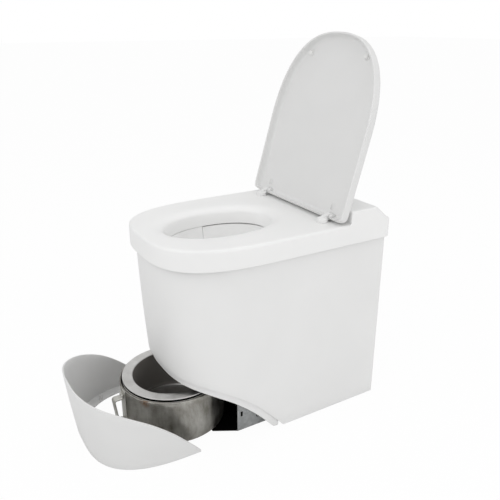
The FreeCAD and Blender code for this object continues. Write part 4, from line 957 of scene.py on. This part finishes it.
def metal(name, dark, light, rough, streak=(1.0, 1.0, 0.06), streak_scale=90.0, stain=None, stain_at=None,
          edge=1.2, brushed=0.1):
    """Sheet or turned metal: streaks, blotches, fine scratches and bright rubbed edges."""
    look = Look(name)
    lines = look.noise(streak_scale, 5.0, 0.65, look.stretched(streak))
    blots = look.noise(11.0, 6.0, 0.62, distortion=0.6)
    fine = look.noise(420.0, 3.0, 0.6)
    share = look.math("ADD", look.levels(lines, 0.3, 0.7, 0.0, 0.45), look.levels(blots, 0.3, 0.7, 0.0, 0.55))
    base = look.mix(share, dark, light)
    base = look.mix(look.levels(fine, 0.5, 0.8, 0.0, 0.25), base, tint(dark, 0.8))
    if stain:
        mask = look.levels(look.noise(30.0, 5.0, 0.65), 0.52, 0.72)
        if stain_at:
            gap = look.node("ShaderNodeVectorMath", {0: look.place, 1: tuple(v * MM for v in stain_at[0])},
                            operation="DISTANCE").outputs["Value"]
            mask = look.levels(gap, stain_at[1] * MM, 0.0)
            mask = look.math("MULTIPLY", mask, look.levels(look.noise(160.0, 4.0), 0.3, 0.55))
            height = look.node("ShaderNodeSeparateXYZ", {"Vector": look.place}).outputs[2]
            mask = look.math("MULTIPLY", mask, look.levels(height, stain_at[2] * MM, (stain_at[2] - 1) * MM))
        base = look.mix(mask, base, stain)
    normal, rim = look.edges(edge)
    base = look.mix(look.math("MULTIPLY", rim, 0.55), base, tint(light, 1.25))
    rough_value = look.levels(look.math("ADD", lines, blots), 0.7, 1.3, rough - 0.08, rough + 0.12)
    look.set(Base_Color=base, Metallic=1.0, Roughness=rough_value)
    look.bump([(lines, brushed, 0.25), (fine, 0.08, 0.08)], normal)
    return look.material


def spangled(name, dark, light, rough):
    """Galvanised sheet: crystal patches of slightly different grey, with dull white bloom."""
    look = Look(name)
    crystal = look.cells(140.0)
    value = look.node("ShaderNodeSeparateColor", {"Color": crystal.outputs["Color"]}).outputs[0]
    bloom = look.noise(14.0, 5.0, 0.6)
    base = look.mix(value, dark, light)
    base = look.mix(look.levels(bloom, 0.5, 0.75, 0.0, 0.5), base, tint(light, 1.12))
    normal, rim = look.edges(1.0)
    base = look.mix(look.math("MULTIPLY", rim, 0.4), base, tint(light, 1.2))
    look.set(Base_Color=base, Metallic=0.75, Roughness=look.levels(value, 0.0, 1.0, rough, rough + 0.14))
    look.bump([(value, 0.05, 0.1), (look.noise(500.0, 2.0), 0.06, 0.08)], normal)
    return look.material


def rubber(name, colour, rough=0.65):
    look = Look(name)
    bloom = look.noise(60.0, 4.0, 0.6)
    base = look.mix(look.levels(bloom, 0.4, 0.7), colour, tuple(c + 0.04 * (1 - c) for c in colour))
    look.set(Base_Color=base, Roughness=look.levels(bloom, 0.3, 0.7, rough - 0.08, rough + 0.1), IOR=1.5)
    look.bump([(look.noise(1500.0, 3.0), 0.25, 0.1)])
    return look.material


def fibre(name, colour):
    """Ceramic blanket: matted fibres with scorched patches."""
    look = Look(name)
    strands = look.noise(350.0, 6.0, 0.75, look.stretched((1.0, 1.0, 4.0)), distortion=1.5)
    scorch = look.noise(12.0, 4.0, 0.6)
    base = look.mix(look.levels(strands, 0.3, 0.7), tint(colour, 0.8), colour)
    base = look.mix(look.levels(scorch, 0.5, 0.75, 0.0, 0.6), base, (0.42, 0.33, 0.24))
    look.set(Base_Color=base, Roughness=0.95, Sheen_Weight=0.3)
    look.bump([(strands, 0.6, 0.8)])
    return look.material


def board(name):
    """Circuit board: solder mask with copper tracks and pads."""
    look = Look(name)
    tracks = look.node("ShaderNodeTexBrick", {
        "Vector": look.stretched((260.0, 1.0, 260.0)), "Scale": 1.0, "Mortar Size": 0.05,
        "Color1": (0.01, 0.16, 0.06, 1), "Color2": (0.015, 0.21, 0.08, 1),
        "Mortar": (0.03, 0.32, 0.12, 1)}).outputs["Color"]
    pads = look.levels(look.cells(480.0).outputs["Distance"], 0.22, 0.16)
    base = look.mix(look.math("MULTIPLY", pads, 0.7), tracks, (0.72, 0.70, 0.62))
    look.set(Base_Color=base, Roughness=look.levels(pads, 0.0, 1.0, 0.35, 0.22))
    look.bump([(pads, 0.2, 0.1)])
    return look.material


HEAT_SPOT = ((78.0, -447.0, 121.0), 17.0, 126.5)     # centre, radius, upper limit
MATERIALS = {
    "shell_plastic": plastic("shell_white", (0.81, 0.81, 0.805), 0.36),
    # Seat white is set lighter than the shell's, in part as painted light that lifts the shaded funnel.
    "seat_plastic": plastic("seat_white", (0.87, 0.87, 0.865), 0.30),
    # Darker copy of the white plastic: painted shade on the open lid's inner face.
    "lid_plastic": plastic("lid_white", (0.76, 0.76, 0.755), 0.32),
    "hinge_plastic": plastic("hinge_white", (0.82, 0.82, 0.815), 0.38, edge=0.8),
    # Lighter copy of the white plastic: painted light on the bowl halves deep in the opening.
    "bowl_plastic": plastic("bowl_white", (0.91, 0.91, 0.905), 0.25),
    "soft_rubber": rubber("buffer_rubber", (0.78, 0.78, 0.77), 0.55),
    "black_rubber": rubber("foot_rubber", (0.02, 0.02, 0.02)),
    "steel_bar": metal("turned_steel", (0.30, 0.30, 0.30), (0.55, 0.55, 0.54), 0.28, (1, 1, 1), 300.0),
    "handle_steel": metal("handle_steel", (0.56, 0.55, 0.51), (0.82, 0.81, 0.77), 0.38, (0.05, 1, 1), 120.0),
    "stainless_pan": metal("pan_steel", (0.13, 0.12, 0.095), (0.62, 0.61, 0.58), 0.36, (1.0, 1.0, 0.3), 42.0,
                           stain=(0.22, 0.10, 0.04), stain_at=HEAT_SPOT, brushed=0.05),
    "insert_steel": metal("insert_steel", (0.60, 0.59, 0.57), (0.86, 0.855, 0.84), 0.40, (1.0, 1.0, 0.3),
                          42.0, brushed=0.04),
    "galvanised_sheet": spangled("galvanised", (0.33, 0.34, 0.34), (0.45, 0.46, 0.46), 0.38),
    "zinc_fastener": metal("zinc_plate", (0.45, 0.45, 0.44), (0.72, 0.72, 0.70), 0.33, (1, 1, 1), 500.0,
                           edge=0.5),
    "chamber_steel": metal("fired_steel", (0.12, 0.10, 0.10), (0.36, 0.30, 0.26), 0.45, (1, 1, 0.3), 40.0,
                           stain=(0.10, 0.08, 0.16)),
    "ceramic_fibre": fibre("ceramic_blanket", (0.80, 0.78, 0.72)),
    "valve_brass": metal("valve_brass", (0.50, 0.34, 0.12), (0.78, 0.58, 0.26), 0.30, (1, 1, 1), 260.0),
    "motor_paint": plastic("motor_paint", (0.06, 0.065, 0.07), 0.42, edge=0.8),
    "black_plastic": plastic("black_plastic", (0.025, 0.025, 0.027), 0.45, edge=0.8),
    "board_green": board("board_green"),
    "button_grey": plastic("button_grey", (0.38, 0.39, 0.40), 0.35, edge=0.6),
    "bezel_metal": metal("bezel_chrome", (0.55, 0.55, 0.55), (0.80, 0.80, 0.80), 0.16, (1, 1, 1), 400.0),
    "panel_paint": plastic("panel_paint", (0.74, 0.74, 0.735), 0.42, edge=0.9),
}
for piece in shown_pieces():
    slot = piece.get("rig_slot") or SLOT_OF[piece["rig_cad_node"]]
    piece.data.materials.clear()
    piece.data.materials.append(MATERIALS[slot])


def soot_and_shade_copy(name, source_slot, inside, soot_and_shade):
    """A copy of a metal with a dull dark coat wherever the mask that inside() makes from x, y and z is 1:
    real soot in the ash pot, painted shade inside the chassis.
    """
    material = MATERIALS[source_slot].copy()
    material.name = name
    tree = material.node_tree
    shader = next(n for n in tree.nodes if n.type == "BSDF_PRINCIPLED").inputs
    coordinates = add_node(tree, "ShaderNodeTexCoord").outputs["Object"]
    mask = inside(tree, *add_node(tree, "ShaderNodeSeparateXYZ", {0: coordinates}).outputs)
    bare = shader["Base Color"].links[0].from_socket
    mixer = add_node(tree, "ShaderNodeMix", {0: mask, 6: bare, 7: (*soot_and_shade, 1.0)}, data_type="RGBA")
    feed(tree, shader["Base Color"], mixer.outputs[2])
    metallic = shader["Metallic"].default_value
    feed(tree, shader["Metallic"], calc(tree, "MULTIPLY_ADD", mask, -metallic, metallic))
    feed(tree, shader["Specular IOR Level"], calc(tree, "MULTIPLY_ADD", mask, -0.48, 0.5))
    return material


# Mask of the chassis's inner faces, where painted shade goes.
def chassis_shade_mask(tree, x, y, z):
    half, top, front = 0.1493, 0.2568, -0.2362
    side = calc(tree, "LESS_THAN", calc(tree, "ABSOLUTE", x), half)
    under = calc(tree, "LESS_THAN", z, top)
    return calc(tree, "MULTIPLY", calc(tree, "MULTIPLY", side, under), calc(tree, "GREATER_THAN", y, front))


def inside_pot(tree, x, y, z):
    radius, bottom, top = 0.0990, 0.030, 0.1305
    from_axis = calc(tree, "ADD", calc(tree, "POWER", x, 2.0),
                     calc(tree, "POWER", calc(tree, "SUBTRACT", y, PAN_Y * MM), 2.0))
    near = calc(tree, "LESS_THAN", from_axis, radius ** 2)
    low = calc(tree, "LESS_THAN", z, top)
    return calc(tree, "MULTIPLY", calc(tree, "MULTIPLY", near, low), calc(tree, "GREATER_THAN", z, bottom))


cover_look = plastic("cover_white", (0.745, 0.745, 0.74), 0.38)
for name in ("cover_moulding", "cover_screw_posts"):
    bpy.data.objects[name].data.materials[0] = cover_look
# Painted shade: the chassis's inner faces are coated near-black to stand for the deep shadow inside its open
# front.
frame["nodes"]["chassis_box"].data.materials[0] = soot_and_shade_copy(
    "chassis_sheet", "galvanised_sheet", chassis_shade_mask, (0.006, 0.006, 0.006))
# Near-black metal that stands for shade: painted shade on the chassis floor plate and pan runners, and on the
# rope seal in the shaded gap under the pot's ring.
shade_black_metal = metal("blackened_sheet", (0.004, 0.004, 0.004), (0.020, 0.019, 0.018), 0.6, edge=0.4,
                  brushed=0.02)
# Painted shade on the floor plate and runners inside the dark chassis.
for name in ("floor_plate", "pan_runners"):
    frame["nodes"][name].data.materials[0] = shade_black_metal
# Painted shade: the rope seal in the gap under the pot's ring is made near-black.
bpy.data.objects["pan_rope_seal"].data.materials[0] = shade_black_metal
bpy.data.objects["pan_insert"].data.materials[0] = soot_and_shade_copy(
    "pan_insert_soot", "insert_steel", inside_pot, (0.24, 0.225, 0.21))

# ---- Stage, light and camera ----
FLOOR_HALF = 30.0
FLOOR_Z = -0.0004


def seen_by_camera(tree, seen, other, output):
    """Gives camera rays one shader and all other rays another."""
    ray = add_node(tree, "ShaderNodeLightPath").outputs["Is Camera Ray"]
    pick = add_node(tree, "ShaderNodeMixShader", {0: ray, 1: other.outputs[0], 2: seen.outputs[0]})
    add_node(tree, output, {"Surface": pick.outputs[0]})


floor_mesh = bpy.data.meshes.new("floor")
floor_mesh.from_pydata([(x * FLOOR_HALF, y * FLOOR_HALF, FLOOR_Z)
                        for x, y in ((-1, -1), (1, -1), (1, 1), (-1, 1))], [], [(0, 1, 2, 3)])
floor = bpy.data.objects.new("floor", floor_mesh)
bpy.context.scene.collection.objects.link(floor)
paint = bpy.data.materials.new("pale_floor")
paint.use_nodes = True
tree = paint.node_tree
tree.nodes.clear()
matte = add_node(tree, "ShaderNodeBsdfDiffuse", {"Color": (0.9, 0.9, 0.9, 1)})
glow = add_node(tree, "ShaderNodeEmission", {"Color": (1, 1, 1, 1), "Strength": 1.0})
bright = add_node(tree, "ShaderNodeMixShader", {0: 0.96, 1: matte.outputs[0], 2: glow.outputs[0]})
dim = add_node(tree, "ShaderNodeBsdfDiffuse", {"Color": (0.85, 0.85, 0.85, 1)})
seen_by_camera(tree, bright, dim, "ShaderNodeOutputMaterial")
floor.data.materials.append(paint)

world = bpy.data.worlds.new("studio")
bpy.context.scene.world = world
world.use_nodes = True
sky = world.node_tree
sky.nodes.clear()
plain = add_node(sky, "ShaderNodeBackground", {"Color": (1, 1, 1, 1), "Strength": 1.0})
soft = add_node(sky, "ShaderNodeBackground", {"Strength": 0.84})
seen_by_camera(sky, plain, soft, "ShaderNodeOutputWorld")


def lamp(name, at, target, size, power):
    """Soft rectangular studio light aimed at a point."""
    data = bpy.data.lights.new(name, "AREA")
    data.shape = "RECTANGLE"
    data.size, data.size_y = size
    data.energy = power
    light = bpy.data.objects.new(name, data)
    light.location = at
    light.rotation_mode = "QUATERNION"
    light.rotation_quaternion = (Vector(target) - Vector(at)).to_track_quat("-Z", "Y")
    bpy.context.scene.collection.objects.link(light)


lamp("key", (0.6, -2.4, 2.2), (0, -0.1, 0.35), (2.4, 2.0), 15)
lamp("side", (2.9, 0.3, 1.2), (0, 0, 0.3), (2.0, 2.2), 18)
lamp("low", (-0.9, -2.6, 0.8), (0, -0.2, 0.3), (1.8, 1.4), 4)
lamp("top", (-0.2, 0.5, 3.0), (0, -0.1, 0.4), (3.0, 3.0), 16)

camera_data = bpy.data.cameras.new("camera")
camera_data.sensor_width = 36.0
camera_data.lens = 42.66
camera_data.clip_start = 0.05
camera_data.clip_end = 100.0
camera = bpy.data.objects.new("camera", camera_data)
camera.location = (1.213956, -0.838972, 0.961675)
camera.rotation_mode = "QUATERNION"
camera.rotation_quaternion = Vector((-0.80009, 0.47959, -0.36034)).to_track_quat("-Z", "Y")
bpy.context.scene.collection.objects.link(camera)
bpy.context.scene.camera = camera
bpy.context.scene.view_settings.view_transform = "Standard"
bpy.context.scene.view_settings.look = "None"
